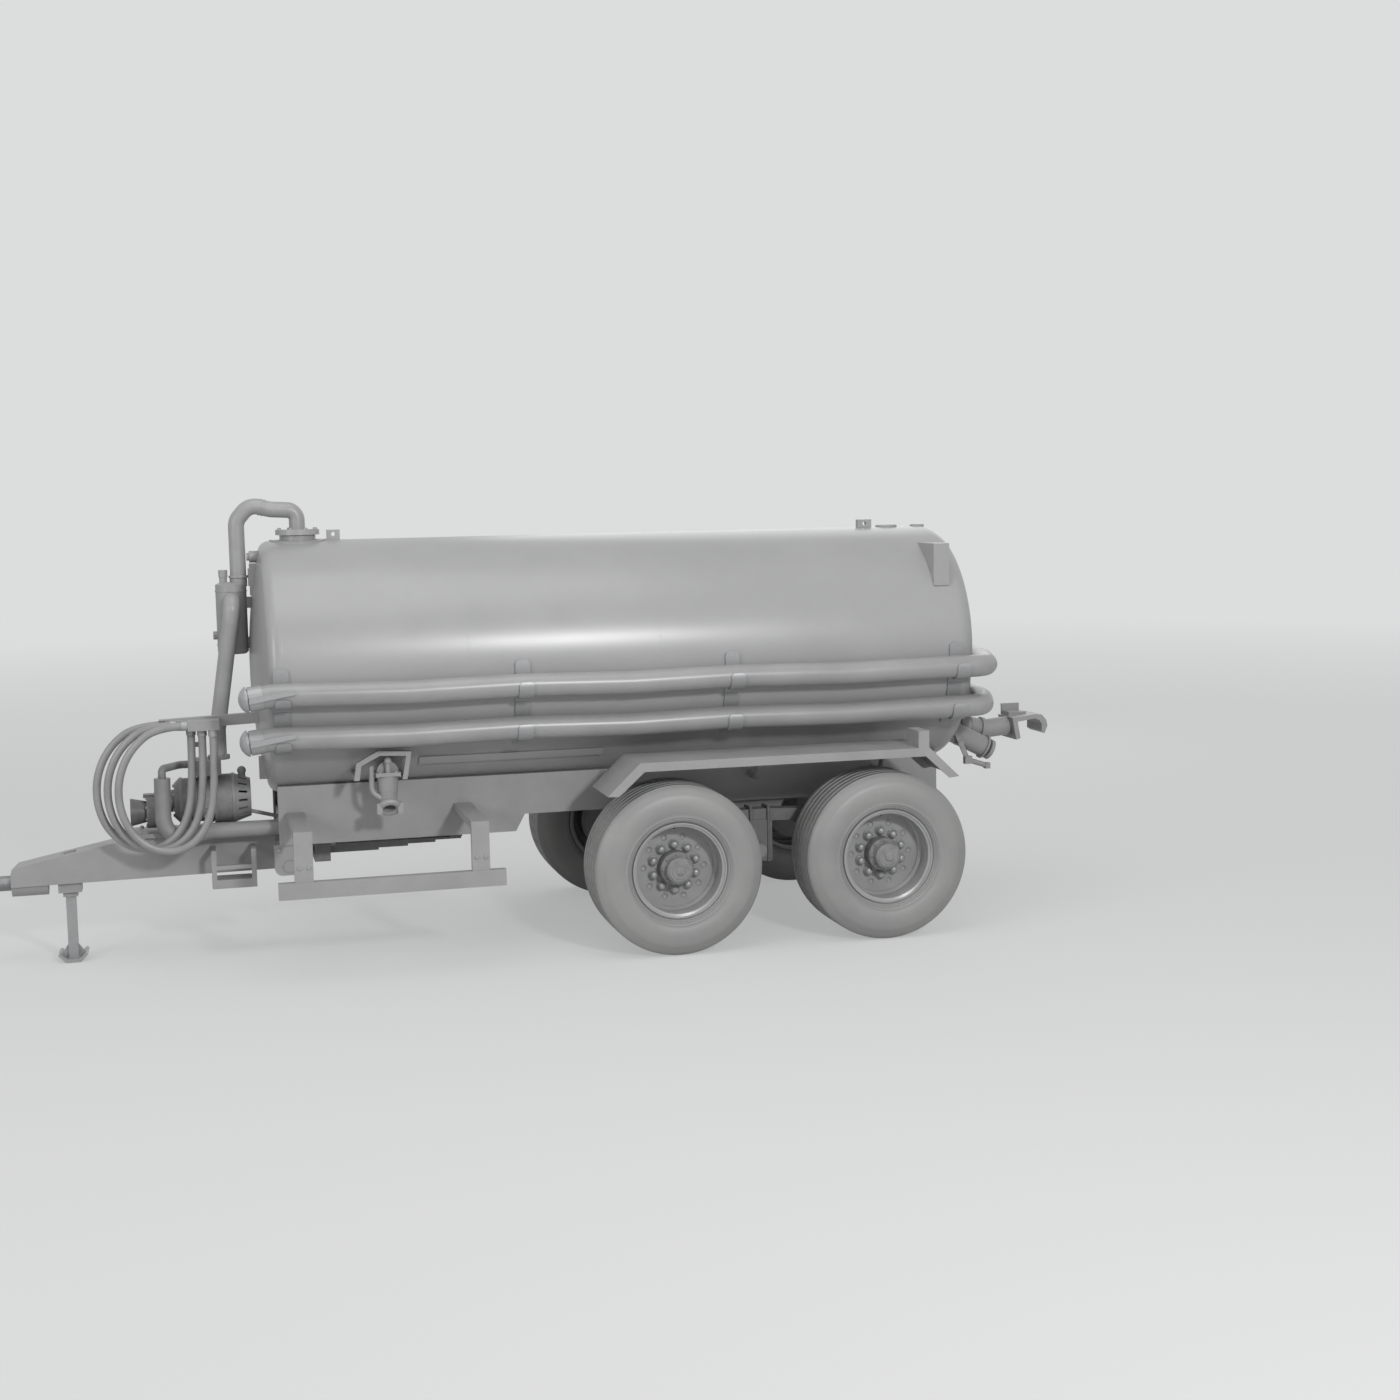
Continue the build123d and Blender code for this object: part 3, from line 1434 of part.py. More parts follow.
# lever beside the lower outlet with its ram, both pinned to a boss on the outlet
link_y0 = stub_y - 98
link_y1 = stub_y - 82
link_top = (tank_rear_x + 80, tank_bottom_z + 214)
link_foot = (tank_rear_x + 180, tank_bottom_z - 12)
link_half = 15
link_outline = [
    (link_top[0] - link_half, link_top[1] - 6),
    (link_top[0] + link_half, link_top[1] + 6),
    (link_foot[0] + link_half, link_foot[1] + 6),
    (link_foot[0] - link_half, link_foot[1] - 6),
]
lower_outlet += plate_y(link_outline, link_y0, link_y1)
boss_x = tank_rear_x + 128
boss_z = tank_bottom_z + 106
lower_outlet += rod((boss_x, stub_y, boss_z), (boss_x, link_y0 - 8, boss_z), 22)
clevis_half = 26
lower_outlet += block(
    link_foot[0] - clevis_half,
    link_foot[0] + clevis_half,
    link_y0 - 12,
    link_y1 + 12,
    link_foot[1] - clevis_half,
    link_foot[1] + clevis_half,
)
ram_y = (link_y0 + link_y1) / 2
ram_end = (tank_rear_x + 322, ram_y, tank_bottom_z - 58)
lower_outlet += rod((link_foot[0], ram_y, link_foot[1]), ram_end, 18)
lower_outlet += block(ram_end[0] - 18, ram_end[0] + 18, ram_y - 20, ram_y + 20, ram_end[2] - 20, ram_end[2] + 20)
save("lower_outlet", lower_outlet)

# fittings on the tank's ends: front stub, front plate with its barrel, pad, and the level gauge

front_stub_z = tank_axis_z + 0.879 * tank_radius
front_stub_radius = 37
front_stub_nose_radius = 24
front_stub = turned(
    [
        (0, 0),
        (0, front_stub_radius),
        (104, front_stub_radius),
        (104, front_stub_nose_radius),
        (120, front_stub_nose_radius),
        (120, 0),
    ],
    (tank_front_x + 34, 0, front_stub_z),
    (-1, 0, 0),
)
front_plate_x = tank_front_x - 72
front_plate_z0 = tank_axis_z + 0.575 * tank_radius
front_plate_z1 = tank_axis_z + 0.825 * tank_radius
front_plate = block(front_plate_x, tank_front_x, -50, 50, front_plate_z0, front_plate_z1)
barrel_z0 = front_plate_z0 + 60
barrel_z1 = front_plate_z1 - 30
front_plate += rod((front_plate_x, -20, barrel_z0), (front_plate_x, -20, barrel_z1), 11)
pad_z0 = tank_axis_z - 0.8625 * tank_radius
pad_z1 = tank_axis_z - 0.6825 * tank_radius
front_pad = block(tank_front_x - 70, tank_front_x, -225, -185, pad_z0, pad_z1)

gauge_x = tank_rear_x + 133
gauge_y = -420
gauge_radius = 10
gauge_z0 = tank_axis_z - 464
gauge_z1 = tank_axis_z - 20
gauge_foot_radius = 8
gauge = rod((gauge_x, gauge_y, gauge_z0), (gauge_x, gauge_y, gauge_z1), gauge_radius)
for foot_z in (gauge_z0 + 14, gauge_z1 - 14):
    gauge += rod((gauge_x, gauge_y, foot_z), (tank_rear_x, gauge_y, foot_z), gauge_foot_radius)
fittings = [largest(piece - tank_room) for piece in (front_stub, front_plate, front_pad, gauge)]
save("tank_end_fittings", *fittings)
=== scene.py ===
import json
import math

import bmesh
import bpy
from mathutils import Matrix, Vector


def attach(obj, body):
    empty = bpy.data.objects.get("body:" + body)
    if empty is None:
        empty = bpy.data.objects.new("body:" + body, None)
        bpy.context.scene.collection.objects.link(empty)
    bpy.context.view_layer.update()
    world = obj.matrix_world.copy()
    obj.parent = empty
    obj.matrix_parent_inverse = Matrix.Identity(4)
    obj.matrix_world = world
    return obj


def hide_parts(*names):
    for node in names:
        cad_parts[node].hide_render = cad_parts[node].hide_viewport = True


# Tank spreader trailer. Metres, +X to the rear, +Y to the right-hand side, +Z up.
# Places along X are counted from the middle of the bogie.
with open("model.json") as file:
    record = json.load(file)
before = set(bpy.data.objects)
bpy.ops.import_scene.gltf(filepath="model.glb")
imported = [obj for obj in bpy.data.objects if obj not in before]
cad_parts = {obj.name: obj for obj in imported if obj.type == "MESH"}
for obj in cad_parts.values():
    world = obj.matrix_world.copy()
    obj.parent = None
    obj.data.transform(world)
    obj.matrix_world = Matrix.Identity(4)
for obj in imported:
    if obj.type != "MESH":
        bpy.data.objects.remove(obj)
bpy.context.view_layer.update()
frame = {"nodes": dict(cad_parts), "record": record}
bogieX = 1.3775  # middle of the bogie in the frame
tankRadius = 0.8
tankAxisZ = 1.804
print("frame loaded:", len(frame["nodes"]), "nodes")

cameraValues = {
    "place": (-2.2184, -12.6706, 2.8693),
    "yaw": 14.903,  # degrees to the right of +Y
    "pitch": 6.130,  # degrees downwards
    "roll": -1.042,
    "lens": 50.0,
    "sensor": 36.0,
    "farClip": 500,
}


def makeCamera(values):
    yaw = math.radians(values["yaw"])
    pitch = math.radians(values["pitch"])
    roll = math.radians(values["roll"])
    forward = Vector((
        math.sin(yaw) * math.cos(pitch),
        math.cos(yaw) * math.cos(pitch),
        -math.sin(pitch),
    ))
    level = Vector((math.cos(yaw), -math.sin(yaw), 0))
    upright = level.cross(forward)
    side = level * math.cos(roll) + upright * math.sin(roll)
    top = upright * math.cos(roll) - level * math.sin(roll)
    data = bpy.data.cameras.new("camera")
    data.lens = values["lens"]
    data.sensor_width = values["sensor"]
    data.clip_end = values["farClip"]
    camera = bpy.data.objects.new("camera", data)
    bpy.context.scene.collection.objects.link(camera)
    turn = Matrix((side, top, -forward)).transposed().to_4x4()
    camera.matrix_world = Matrix.Translation(values["place"]) @ turn
    bpy.context.scene.camera = camera
    print("camera placed")


lampTable = {
    # place, point it aims at, size in metres, power in watts
    "key": ((2.6, -12.8, 6.3), (0.1, -0.6, 1.6), 1.3, 700),
    "top": ((-1.0, -3.0, 9.5), (0.0, 0.0, 1.5), 7.0, 210),
    "fill": ((-9.5, -7.0, 4.5), (-1.5, 0.0, 1.4), 4.0, 230),
    "back": ((5.0, 9.0, 6.0), (0.5, 0.0, 1.4), 8.0, 150),
}
worldLight = 0.50  # what the world gives the object
worldShown = "dcdddd"  # what the camera, metal and glass see of the world


def toLinear(hexText):
    parts = [int(hexText[i:i + 2], 16) / 255 for i in (0, 2, 4)]
    return tuple(p / 12.92 if p <= 0.04045 else ((p + 0.055) / 1.055) ** 2.4 for p in parts) + (1.0,)


def addNode(tree, kind, settings=None, links=None, into=None):
    # links feed the node's inputs, and into is a socket that its first output feeds
    node = tree.nodes.new(kind)
    for key, value in (settings or {}).items():
        if isinstance(key, int) or key in node.inputs:
            node.inputs[key].default_value = value
        else:
            setattr(node, key, value)
    for key, socket in (links or {}).items():
        tree.links.new(socket, node.inputs[key])
    if into is not None:
        tree.links.new(node.outputs[0], into)
    return node


def makeLight():
    for name, (spot, aim, size, power) in lampTable.items():
        data = bpy.data.lights.new(name, "AREA")
        data.shape = "DISK"
        data.size = size
        data.energy = power
        lamp = bpy.data.objects.new(name, data)
        bpy.context.scene.collection.objects.link(lamp)
        lamp.location = spot
        lamp.rotation_mode = "QUATERNION"
        lamp.rotation_quaternion = (Vector(aim) - Vector(spot)).to_track_quat("-Z", "Y")
    world = bpy.data.worlds.new("studio")
    world.use_nodes = True
    tree = world.node_tree
    tree.nodes.clear()
    rays = addNode(tree, "ShaderNodeLightPath").outputs
    seen = rays["Is Camera Ray"]
    for ray in ("Is Glossy Ray", "Is Transmission Ray"):
        seen = addNode(tree, "ShaderNodeMath", {"operation": "MAXIMUM"}, {0: seen, 1: rays[ray]}).outputs[0]
    lit = addNode(tree, "ShaderNodeBackground", {"Color": (1, 1, 1, 1), "Strength": worldLight})
    shown = addNode(tree, "ShaderNodeBackground", {"Color": toLinear(worldShown), "Strength": 1.0})
    mix = addNode(tree, "ShaderNodeMixShader", None, {0: seen, 1: lit.outputs[0], 2: shown.outputs[0]})
    addNode(tree, "ShaderNodeOutputWorld", None, {"Surface": mix.outputs[0]})
    bpy.context.scene.world = world
    bpy.context.scene.view_settings.view_transform = "Standard"
    print("lamps and world made")


# three hydraulic hoses hanging in loops at the front
loopValues = {
    "count": 3,
    "radius": 0.024,
    "firstY": -0.300,
    "pitchX": 0.066,  # from one loop to the next
    "pitchY": 0.062,
    "length": 2.07,
    "roundness": 6,
    "smoothness": 14,
    # one loop from its exit to the underside of the block: X and Z
    "route": [
        (-3.720, 1.496), (-3.900, 1.496), (-4.052, 1.384), (-4.138, 1.216), (-4.150, 1.030), (-4.092, 0.858),
        (-3.960, 0.738), (-3.796, 0.716), (-3.664, 0.806), (-3.596, 0.962), (-3.578, 1.128), (-3.571, 1.298),
        (-3.571, 1.464),
    ],
}


def makeLoops(values, material):
    for number in range(values["count"]):
        shift = bogieX + number * values["pitchX"]
        y = values["firstY"] - number * values["pitchY"]
        points = [(x + shift, y, z) for x, z in values["route"]]
        data = bpy.data.curves.new(f"hoseLoop{number + 1}", "CURVE")
        data.dimensions = "3D"
        data.bevel_depth = values["radius"]
        data.bevel_resolution = values["roundness"]
        data.resolution_u = values["smoothness"]
        data.use_fill_caps = True
        spline = data.splines.new("NURBS")
        spline.points.add(len(points) - 1)
        for point, spot in zip(spline.points, points):
            point.co = (*spot, 1.0)
        spline.order_u = 3
        spline.use_endpoint_u = True
        loop = bpy.data.objects.new(f"hoseLoop{number + 1}", data)
        bpy.context.scene.collection.objects.link(loop)
        data.materials.append(material)
        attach(loop, "root")
        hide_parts(f"hose_loop_{number + 1}")
    print("hose loops made")


def newMaterial(name, colour, roughness, metallic=0.0, ior=1.5):
    material = bpy.data.materials.new(name)
    material.use_nodes = True
    tree = material.node_tree
    tree.nodes.clear()
    shader = addNode(tree, "ShaderNodeBsdfPrincipled", {
        "Base Color": toLinear(colour), "Roughness": roughness, "Metallic": metallic, "IOR": ior,
    })
    addNode(tree, "ShaderNodeOutputMaterial", None, {"Surface": shader.outputs[0]})
    coords = addNode(tree, "ShaderNodeTexCoord").outputs["Object"]
    return material, tree, shader, coords


def perMetre(millimetres):  # pattern scale for a real size
    return 1000 / millimetres


# share of the noise up to which a patch is fully dark, and from which it is fully light
mottleValues = {"darkUpTo": 0.32, "lightFrom": 0.68, "breakUp": 0.62}


def mottle(tree, shader, coords, dark, light, patchMm, roughnessRange, detail=6):
    # soft patches of two tones, the lighter ones a little rougher
    noise = addNode(tree, "ShaderNodeTexNoise", {
        "Scale": perMetre(patchMm), "Detail": detail, "Roughness": mottleValues["breakUp"],
    }, {"Vector": coords})
    ramp = addNode(tree, "ShaderNodeValToRGB", None, {0: noise.outputs[0]}, shader.inputs["Base Color"])
    darkEnd, lightEnd = ramp.color_ramp.elements
    darkEnd.position = mottleValues["darkUpTo"]
    lightEnd.position = mottleValues["lightFrom"]
    darkEnd.color = toLinear(dark)
    lightEnd.color = toLinear(light)
    low, high = roughnessRange
    addNode(tree, "ShaderNodeMapRange", {"To Min": low, "To Max": high}, {"Value": noise.outputs[0]},
            shader.inputs["Roughness"])
    return ramp


# enamel over steel: smooth with a faint orange peel, dulled in patches by the weather
enamelTable = {
    # name, dark and light tone, size of the patches in mm, roughness range,
    # orange peel in mm, drawn coarser than the real 1 to 2 mm so that it shows, and its strength
    "tank_paint": ("satinEnamelRolledSheet", "989899", "9e9e9f", 700, (0.27, 0.33), 5.0, 0.04),
    "chassis_paint": ("satinEnamelWeldedSteel", "8f8f8f", "989898", 260, (0.38, 0.48), 3.5, 0.08),
    "pipe_paint": ("satinEnamelSteelTube", "919191", "999999", 200, (0.32, 0.42), 3.0, 0.06),
    "pump_paint": ("hammeredEnamelHousing", "868687", "909091", 80, (0.38, 0.48), 4.0, 0.16),
    "axle_paint": ("dustyChassisEnamel", "747474", "828282", 120, (0.52, 0.66), 3.0, 0.16),
    "rim_paint": ("glossWheelEnamel", "939394", "9b9b9c", 160, (0.26, 0.36), 4.0, 0.05),
    "spring_steel": ("paintedSpringSteel", "6c6c6d", "7a7a7b", 60, (0.46, 0.60), 2.0, 0.18),
}
enamelValues = {
    "peelDepth": 0.0006,
    "speckMm": 9,  # specks of dust
    "speckStart": 0.66,  # where in the noise a speck begins and is full
    "speckFull": 0.80,
    "speckCover": 0.10,
    "speckColour": "6a6968",
}


def makeEnamel(name, dark, light, patchMm, roughnessRange, peelMm, peel):
    values = enamelValues
    material, tree, shader, coords = newMaterial(name, light, roughnessRange[0])
    ramp = mottle(tree, shader, coords, dark, light, patchMm, roughnessRange)
    speck = addNode(tree, "ShaderNodeTexNoise", {"Scale": perMetre(values["speckMm"]), "Detail": 2}, {"Vector": coords})
    dust = addNode(tree, "ShaderNodeMapRange", {
        "From Min": values["speckStart"], "From Max": values["speckFull"],
        "To Min": 0.0, "To Max": values["speckCover"],
    }, {"Value": speck.outputs[0]})
    addNode(tree, "ShaderNodeMixRGB", {"Color2": toLinear(values["speckColour"])},
            {"Fac": dust.outputs[0], "Color1": ramp.outputs[0]}, shader.inputs["Base Color"])
    peels = addNode(tree, "ShaderNodeTexNoise", {"Scale": perMetre(peelMm), "Detail": 1}, {"Vector": coords})
    addNode(tree, "ShaderNodeBump", {"Strength": peel, "Distance": values["peelDepth"]}, {"Height": peels.outputs[0]},
            shader.inputs["Normal"])
    return material


# sand-cast iron under paint: rough, the grain of the mould drawn coarser than real so that it shows
castTable = {
    # name, dark and light tone, grain in mm
    "pump_cast_iron": ("paintedSandCastIron", "7b7b7c", "8d8d8e", 2.4),
    "hub_cast": ("paintedHubCasting", "757576", "8b8b8c", 2.0),
}
castValues = {"roughness": 0.6, "range": (0.50, 0.70), "patchMm": 45, "grainStrength": 0.35, "grainDepth": 0.0008}


def makeCastIron(name, dark, light, grainMm):
    values = castValues
    material, tree, shader, coords = newMaterial(name, light, values["roughness"])
    mottle(tree, shader, coords, dark, light, values["patchMm"], values["range"])
    grain = addNode(tree, "ShaderNodeTexVoronoi", {"Scale": perMetre(grainMm)}, {"Vector": coords})
    addNode(tree, "ShaderNodeBump", {"Strength": values["grainStrength"], "Distance": values["grainDepth"]},
            {"Height": grain.outputs["Distance"]}, shader.inputs["Normal"])
    return material


# hot-dip zinc: flat crystals, each of a slightly different grey and gloss
zincTable = {
    # name, dark and light tone, size of the crystals in mm, roughness range
    "coupling_zinc": ("galvanisedPressing", "9c9d9e", "a2a3a4", 6, (0.36, 0.39)),
    "strap_steel": ("galvanisedStrip", "939495", "9a9b9c", 6, (0.38, 0.42)),
    "leg_zinc": ("zincPlatedTube", "9a9b9c", "a1a2a3", 8, (0.34, 0.38)),
}
zincMetallic = 0.3  # weathered zinc carries a dull skin of oxide


def makeZinc(name, dark, light, spangleMm, roughnessRange):
    material, tree, shader, coords = newMaterial(name, light, roughnessRange[0], metallic=zincMetallic)
    cells = addNode(tree, "ShaderNodeTexVoronoi", {"Scale": perMetre(spangleMm)}, {"Vector": coords})
    tone = addNode(tree, "ShaderNodeSeparateColor", None, {0: cells.outputs["Color"]})
    ramp = addNode(tree, "ShaderNodeValToRGB", None, {0: tone.outputs[0]}, shader.inputs["Base Color"])
    ramp.color_ramp.elements[0].color = toLinear(dark)
    ramp.color_ramp.elements[1].color = toLinear(light)
    low, high = roughnessRange
    addNode(tree, "ShaderNodeMapRange", {"To Min": low, "To Max": high}, {"Value": tone.outputs[1]},
            shader.inputs["Roughness"])
    return material


# forged steel: dull scale, worn bright where it rubs
forgedTable = {
    "forged_steel": ("forgedSteel", "868788", "9c9d9e"),
}
forgedValues = {
    "metallic": 0.85,
    "roughness": 0.45,
    "range": (0.35, 0.62),
    "patchMm": 30,
    "scaleMm": 6,
    "scaleStrength": 0.25,
    "scaleDepth": 0.0010,
}


def makeForged(name, dark, light):
    values = forgedValues
    material, tree, shader, coords = newMaterial(name, light, values["roughness"], metallic=values["metallic"])
    mottle(tree, shader, coords, dark, light, values["patchMm"], values["range"])
    scale = addNode(tree, "ShaderNodeTexNoise", {"Scale": perMetre(values["scaleMm"]), "Detail": 4}, {"Vector": coords})
    addNode(tree, "ShaderNodeBump", {"Strength": values["scaleStrength"], "Distance": values["scaleDepth"]},
            {"Height": scale.outputs[0]}, shader.inputs["Normal"])
    return material


# vulcanised rubber: greyed by dust, its fine grain drawn coarser than real so that it shows
rubberTable = {
    # name, dark and light tone, roughness range, grain in mm, size of the patches in mm
    "tyre_rubber": ("dustyTyreRubber", "868686", "8f8f8e", (0.40, 0.50), 3.0, 420),
    "hose_rubber": ("smoothSuctionHose", "8f8f8f", "999999", (0.28, 0.36), 2.2, 420),
    "loop_rubber": ("coveredHydraulicHose", "868686", "919191", (0.32, 0.42), 1.6, 160),
}
rubberValues = {"ior": 1.52, "grainStrength": 0.15, "grainDepth": 0.0006}


def makeRubber(name, dark, light, roughnessRange, grainMm, patchMm):
    values = rubberValues
    material, tree, shader, coords = newMaterial(name, light, roughnessRange[0], ior=values["ior"])
    mottle(tree, shader, coords, dark, light, patchMm, roughnessRange, detail=8)
    grain = addNode(tree, "ShaderNodeTexNoise", {"Scale": perMetre(grainMm), "Detail": 3}, {"Vector": coords})
    addNode(tree, "ShaderNodeBump", {"Strength": values["grainStrength"], "Distance": values["grainDepth"]},
            {"Height": grain.outputs[0]}, shader.inputs["Normal"])
    return material


# moulded polyethylene: even, soft sheen, its leather grain drawn coarser than real so that it shows
plasticTable = {
    "guard_plastic": ("mouldedGuardPolyethylene", "5c5c5d", "6a6a6b"),
}
plasticValues = {
    "roughness": 0.5,
    "range": (0.44, 0.56),
    "patchMm": 80,
    "grainMm": 2.5,
    "grainStrength": 0.2,
    "grainDepth": 0.0003,
}


def makePlastic(name, dark, light):
    values = plasticValues
    material, tree, shader, coords = newMaterial(name, light, values["roughness"])
    mottle(tree, shader, coords, dark, light, values["patchMm"], values["range"])
    grain = addNode(tree, "ShaderNodeTexVoronoi", {"Scale": perMetre(values["grainMm"])}, {"Vector": coords})
    addNode(tree, "ShaderNodeBump", {"Strength": values["grainStrength"], "Distance": values["grainDepth"]},
            {"Height": grain.outputs["Distance"]}, shader.inputs["Normal"])
    return material


def makeMaterials():
    made = {}
    for table, maker in (
        (enamelTable, makeEnamel), (castTable, makeCastIron), (zincTable, makeZinc),
        (forgedTable, makeForged), (rubberTable, makeRubber), (plasticTable, makePlastic),
    ):
        for slot, row in table.items():
            made[slot] = maker(*row)
    print("materials made:", len(made))
    return made


def dressNodes(materials):
    for row in frame["record"]["subparts"]:
        data = frame["nodes"][row["node"]].data
        data.materials.clear()
        data.materials.append(materials[row["material_slot"]])
    print("CAD nodes dressed")


mergeDistance = 0.00001  # vertices closer than this are one


def finishPiece(bm, name, slot, body, materials, smoothAngle=40, nodes=()):
    bmesh.ops.remove_doubles(bm, verts=bm.verts, dist=mergeDistance)
    bmesh.ops.recalc_face_normals(bm, faces=bm.faces)
    data = bpy.data.meshes.new(name)
    bm.to_mesh(data)
    bm.free()
    data.materials.append(materials[slot])
    piece = bpy.data.objects.new(name, data)
    bpy.context.scene.collection.objects.link(piece)
    data.shade_smooth()
    data.set_sharp_from_angle(angle=math.radians(smoothAngle))
    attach(piece, body)
    if nodes:
        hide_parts(*nodes)


def place(x, y, z):  # from the bogie's middle to the frame
    return Vector((x + bogieX, y, z))


def alongAxis(axis, at):
    return Matrix.Translation(at) @ Vector(axis).to_track_quat("Z", "Y").to_matrix().to_4x4()


def edgesOf(verts):  # each edge once, in the same order at every run
    return list(dict.fromkeys(edge for vert in verts for edge in vert.link_edges))


def spinRound(bm, verts, edges, centre, axis, steps):
    bmesh.ops.spin(
        bm, geom=verts + edges, cent=centre, axis=axis, dvec=(0, 0, 0), angle=2 * math.pi,
        steps=steps, use_merge=True, use_duplicate=False,
    )


# a bolt head's bevel and its washer, as shares of the head's height and radius
boltValues = {"bevel": 0.18, "washerRadius": 1.25, "washerHeight": 0.16, "washerSteps": 20}


def addBolt(bm, at, axis, acrossFlats, height):
    # hexagon head with a bevelled top edge, on its washer
    radius = acrossFlats / math.sqrt(3)
    matrix = alongAxis(axis, at)
    made = bmesh.ops.create_cone(
        bm, cap_ends=True, segments=6, radius1=radius, radius2=radius, depth=height,
        matrix=matrix @ Matrix.Translation((0, 0, height / 2)),
    )["verts"]
    back = matrix.inverted()
    top = [edge for edge in edgesOf(made) if all((back @ vert.co).z > height / 2 for vert in edge.verts)]
    bmesh.ops.bevel(
        bm, geom=top, offset=height * boltValues["bevel"], affect="EDGES", segments=1, profile=0.5,
        material=-1, offset_type="OFFSET",
    )
    washerRadius = radius * boltValues["washerRadius"]
    washerHeight = height * boltValues["washerHeight"]
    bmesh.ops.create_cone(
        bm, cap_ends=True, segments=boltValues["washerSteps"], radius1=washerRadius, radius2=washerRadius,
        depth=washerHeight, matrix=matrix @ Matrix.Translation((0, 0, washerHeight / 2)),
    )


def addBoltRing(bm, at, axis, circle, count, acrossFlats, height, start=0.0):
    matrix = alongAxis(axis, at)
    for number in range(count):
        turn = start + 2 * math.pi * number / count
        spot = matrix @ Vector((circle * math.cos(turn), circle * math.sin(turn), 0))
        addBolt(bm, spot, axis, acrossFlats, height)


def addTurned(bm, at, axis, profile, steps):
    # body of revolution from (height, radius) rows, closed where a row has radius 0
    matrix = alongAxis(axis, at)
    verts = [bm.verts.new(matrix @ Vector((radius, 0, height))) for height, radius in profile]
    edges = [bm.edges.new(pair) for pair in zip(verts, verts[1:])]
    spinRound(bm, verts, edges, at, matrix.to_3x3() @ Vector((0, 0, 1)), steps)


# how deep a ring reaches into what it sits on, and its chamfer as a share of its smaller side
ringValues = {"sunk": 0.004, "chamfer": 0.3}


def addRing(bm, at, axis, radius, depth, rise, steps=64):
    # flat band with small chamfers, standing out by rise from a round body
    chamfer = min(rise, depth) * ringValues["chamfer"]
    inside = radius - ringValues["sunk"]
    crown = radius + rise
    addTurned(bm, at, axis, [
        (0, inside), (0, crown - chamfer), (chamfer, crown), (depth - chamfer, crown),
        (depth, crown - chamfer), (depth, inside), (0, inside),
    ], steps)


def addRod(bm, start, end, radius, segments=16):
    run = Vector(end) - Vector(start)
    bmesh.ops.create_cone(
        bm, cap_ends=True, segments=segments, radius1=radius, radius2=radius, depth=run.length,
        matrix=alongAxis(run, Vector(start) + run / 2),
    )


tyreValues = {
    "radius": 0.536,
    "steps": 120,
    "grooves": [0.0, 0.062, 0.124],  # groove middles from the tyre's middle
    "grooveHalf": 0.0100,
    "grooveFloor": 0.6,  # width of the floor over the width of the mouth
    "grooveDepth": 0.018,
    "crownDrop": 0.0006,  # at the outer groove
    "sipeEvery": 3,  # steps from one short cut to the next
    "sipeBand": (0.008, 0.115),  # ribs that have them, from the tyre's middle
    "sipeInset": 0.0085,
    "sipeDepth": 0.004,
    # outer flank from the shoulder to the bead: distance from the middle and radius
    "flank": [
        (0.170, 0.5345), (0.1735, 0.5270), (0.1790, 0.5270), (0.1830, 0.5300), (0.1930, 0.5200), (0.2065, 0.5020),
        (0.2150, 0.4820), (0.2170, 0.4800), (0.2230, 0.4560), (0.2272, 0.4280), (0.2280, 0.4050), (0.2262, 0.3820),
        (0.2215, 0.3600), (0.2160, 0.3440), (0.2175, 0.3400), (0.2160, 0.3360), (0.2080, 0.3300), (0.2095, 0.3260),
        (0.2075, 0.3225), (0.1990, 0.3190), (0.1995, 0.3150), (0.1960, 0.3115), (0.1905, 0.3075), (0.1810, 0.3012),
        (0.1745, 0.2846),
    ],
}
wheelTable = {
    # X and Y of the wheel's middle
    "front_left": (-0.685, -0.992),
    "front_right": (-0.685, 0.992),
    "rear_left": (0.685, -0.992),
    "rear_right": (0.685, 0.992),
}
axleHeight = 0.536


def tyreProfile(values):
    # half of the section, from the tyre's middle outwards
    half = []
    wall = values["grooveHalf"]
    floorHalf = wall * values["grooveFloor"]
    floor = values["radius"] - values["grooveDepth"]
    for middle in values["grooves"]:
        crown = values["radius"] - values["crownDrop"] * (middle / values["grooves"][-1]) ** 2
        if middle > 0:
            half += [(middle - wall, crown), (middle - floorHalf, floor)]
        half += [(middle + floorHalf, floor), (middle + wall, crown)]
    return half + values["flank"]


def makeTyre(wheel, centre, values, materials):
    bm = bmesh.new()
    half = tyreProfile(values)
    ring = half + [(-width, radius) for width, radius in reversed(half)]
    verts = [bm.verts.new((centre.x, centre.y + width, centre.z + radius)) for width, radius in ring]
    edges = [bm.edges.new(pair) for pair in zip(verts, verts[1:] + verts[:1])]
    spinRound(bm, verts, edges, centre, (0, 1, 0), values["steps"])
    bmesh.ops.recalc_face_normals(bm, faces=bm.faces)
    # short cuts across the inner ribs
    low, high = values["sipeBand"]
    ribs = []
    for face in bm.faces:
        middle = face.calc_center_median() - centre
        onCrown = math.hypot(middle.x, middle.z) > values["radius"] - values["sipeDepth"]
        turn = math.degrees(math.atan2(middle.x, middle.z)) / 360
        step = round(turn * values["steps"] - 0.5) % values["steps"]
        if onCrown and low < abs(middle.y) < high and step % values["sipeEvery"] == 0:
            ribs.append(face)
    bmesh.ops.inset_individual(
        bm, faces=ribs, thickness=values["sipeInset"], depth=-values["sipeDepth"], use_even_offset=True,
    )
    finishPiece(bm, f"treaded_{wheel}", "tyre_rubber", f"wheel_{wheel}", materials, nodes=[f"tyre_{wheel}"])


def makeTyres(materials):
    for wheel, (x, y) in wheelTable.items():
        makeTyre(wheel, place(x, y, axleHeight), tyreValues, materials)
    print("tyres made")


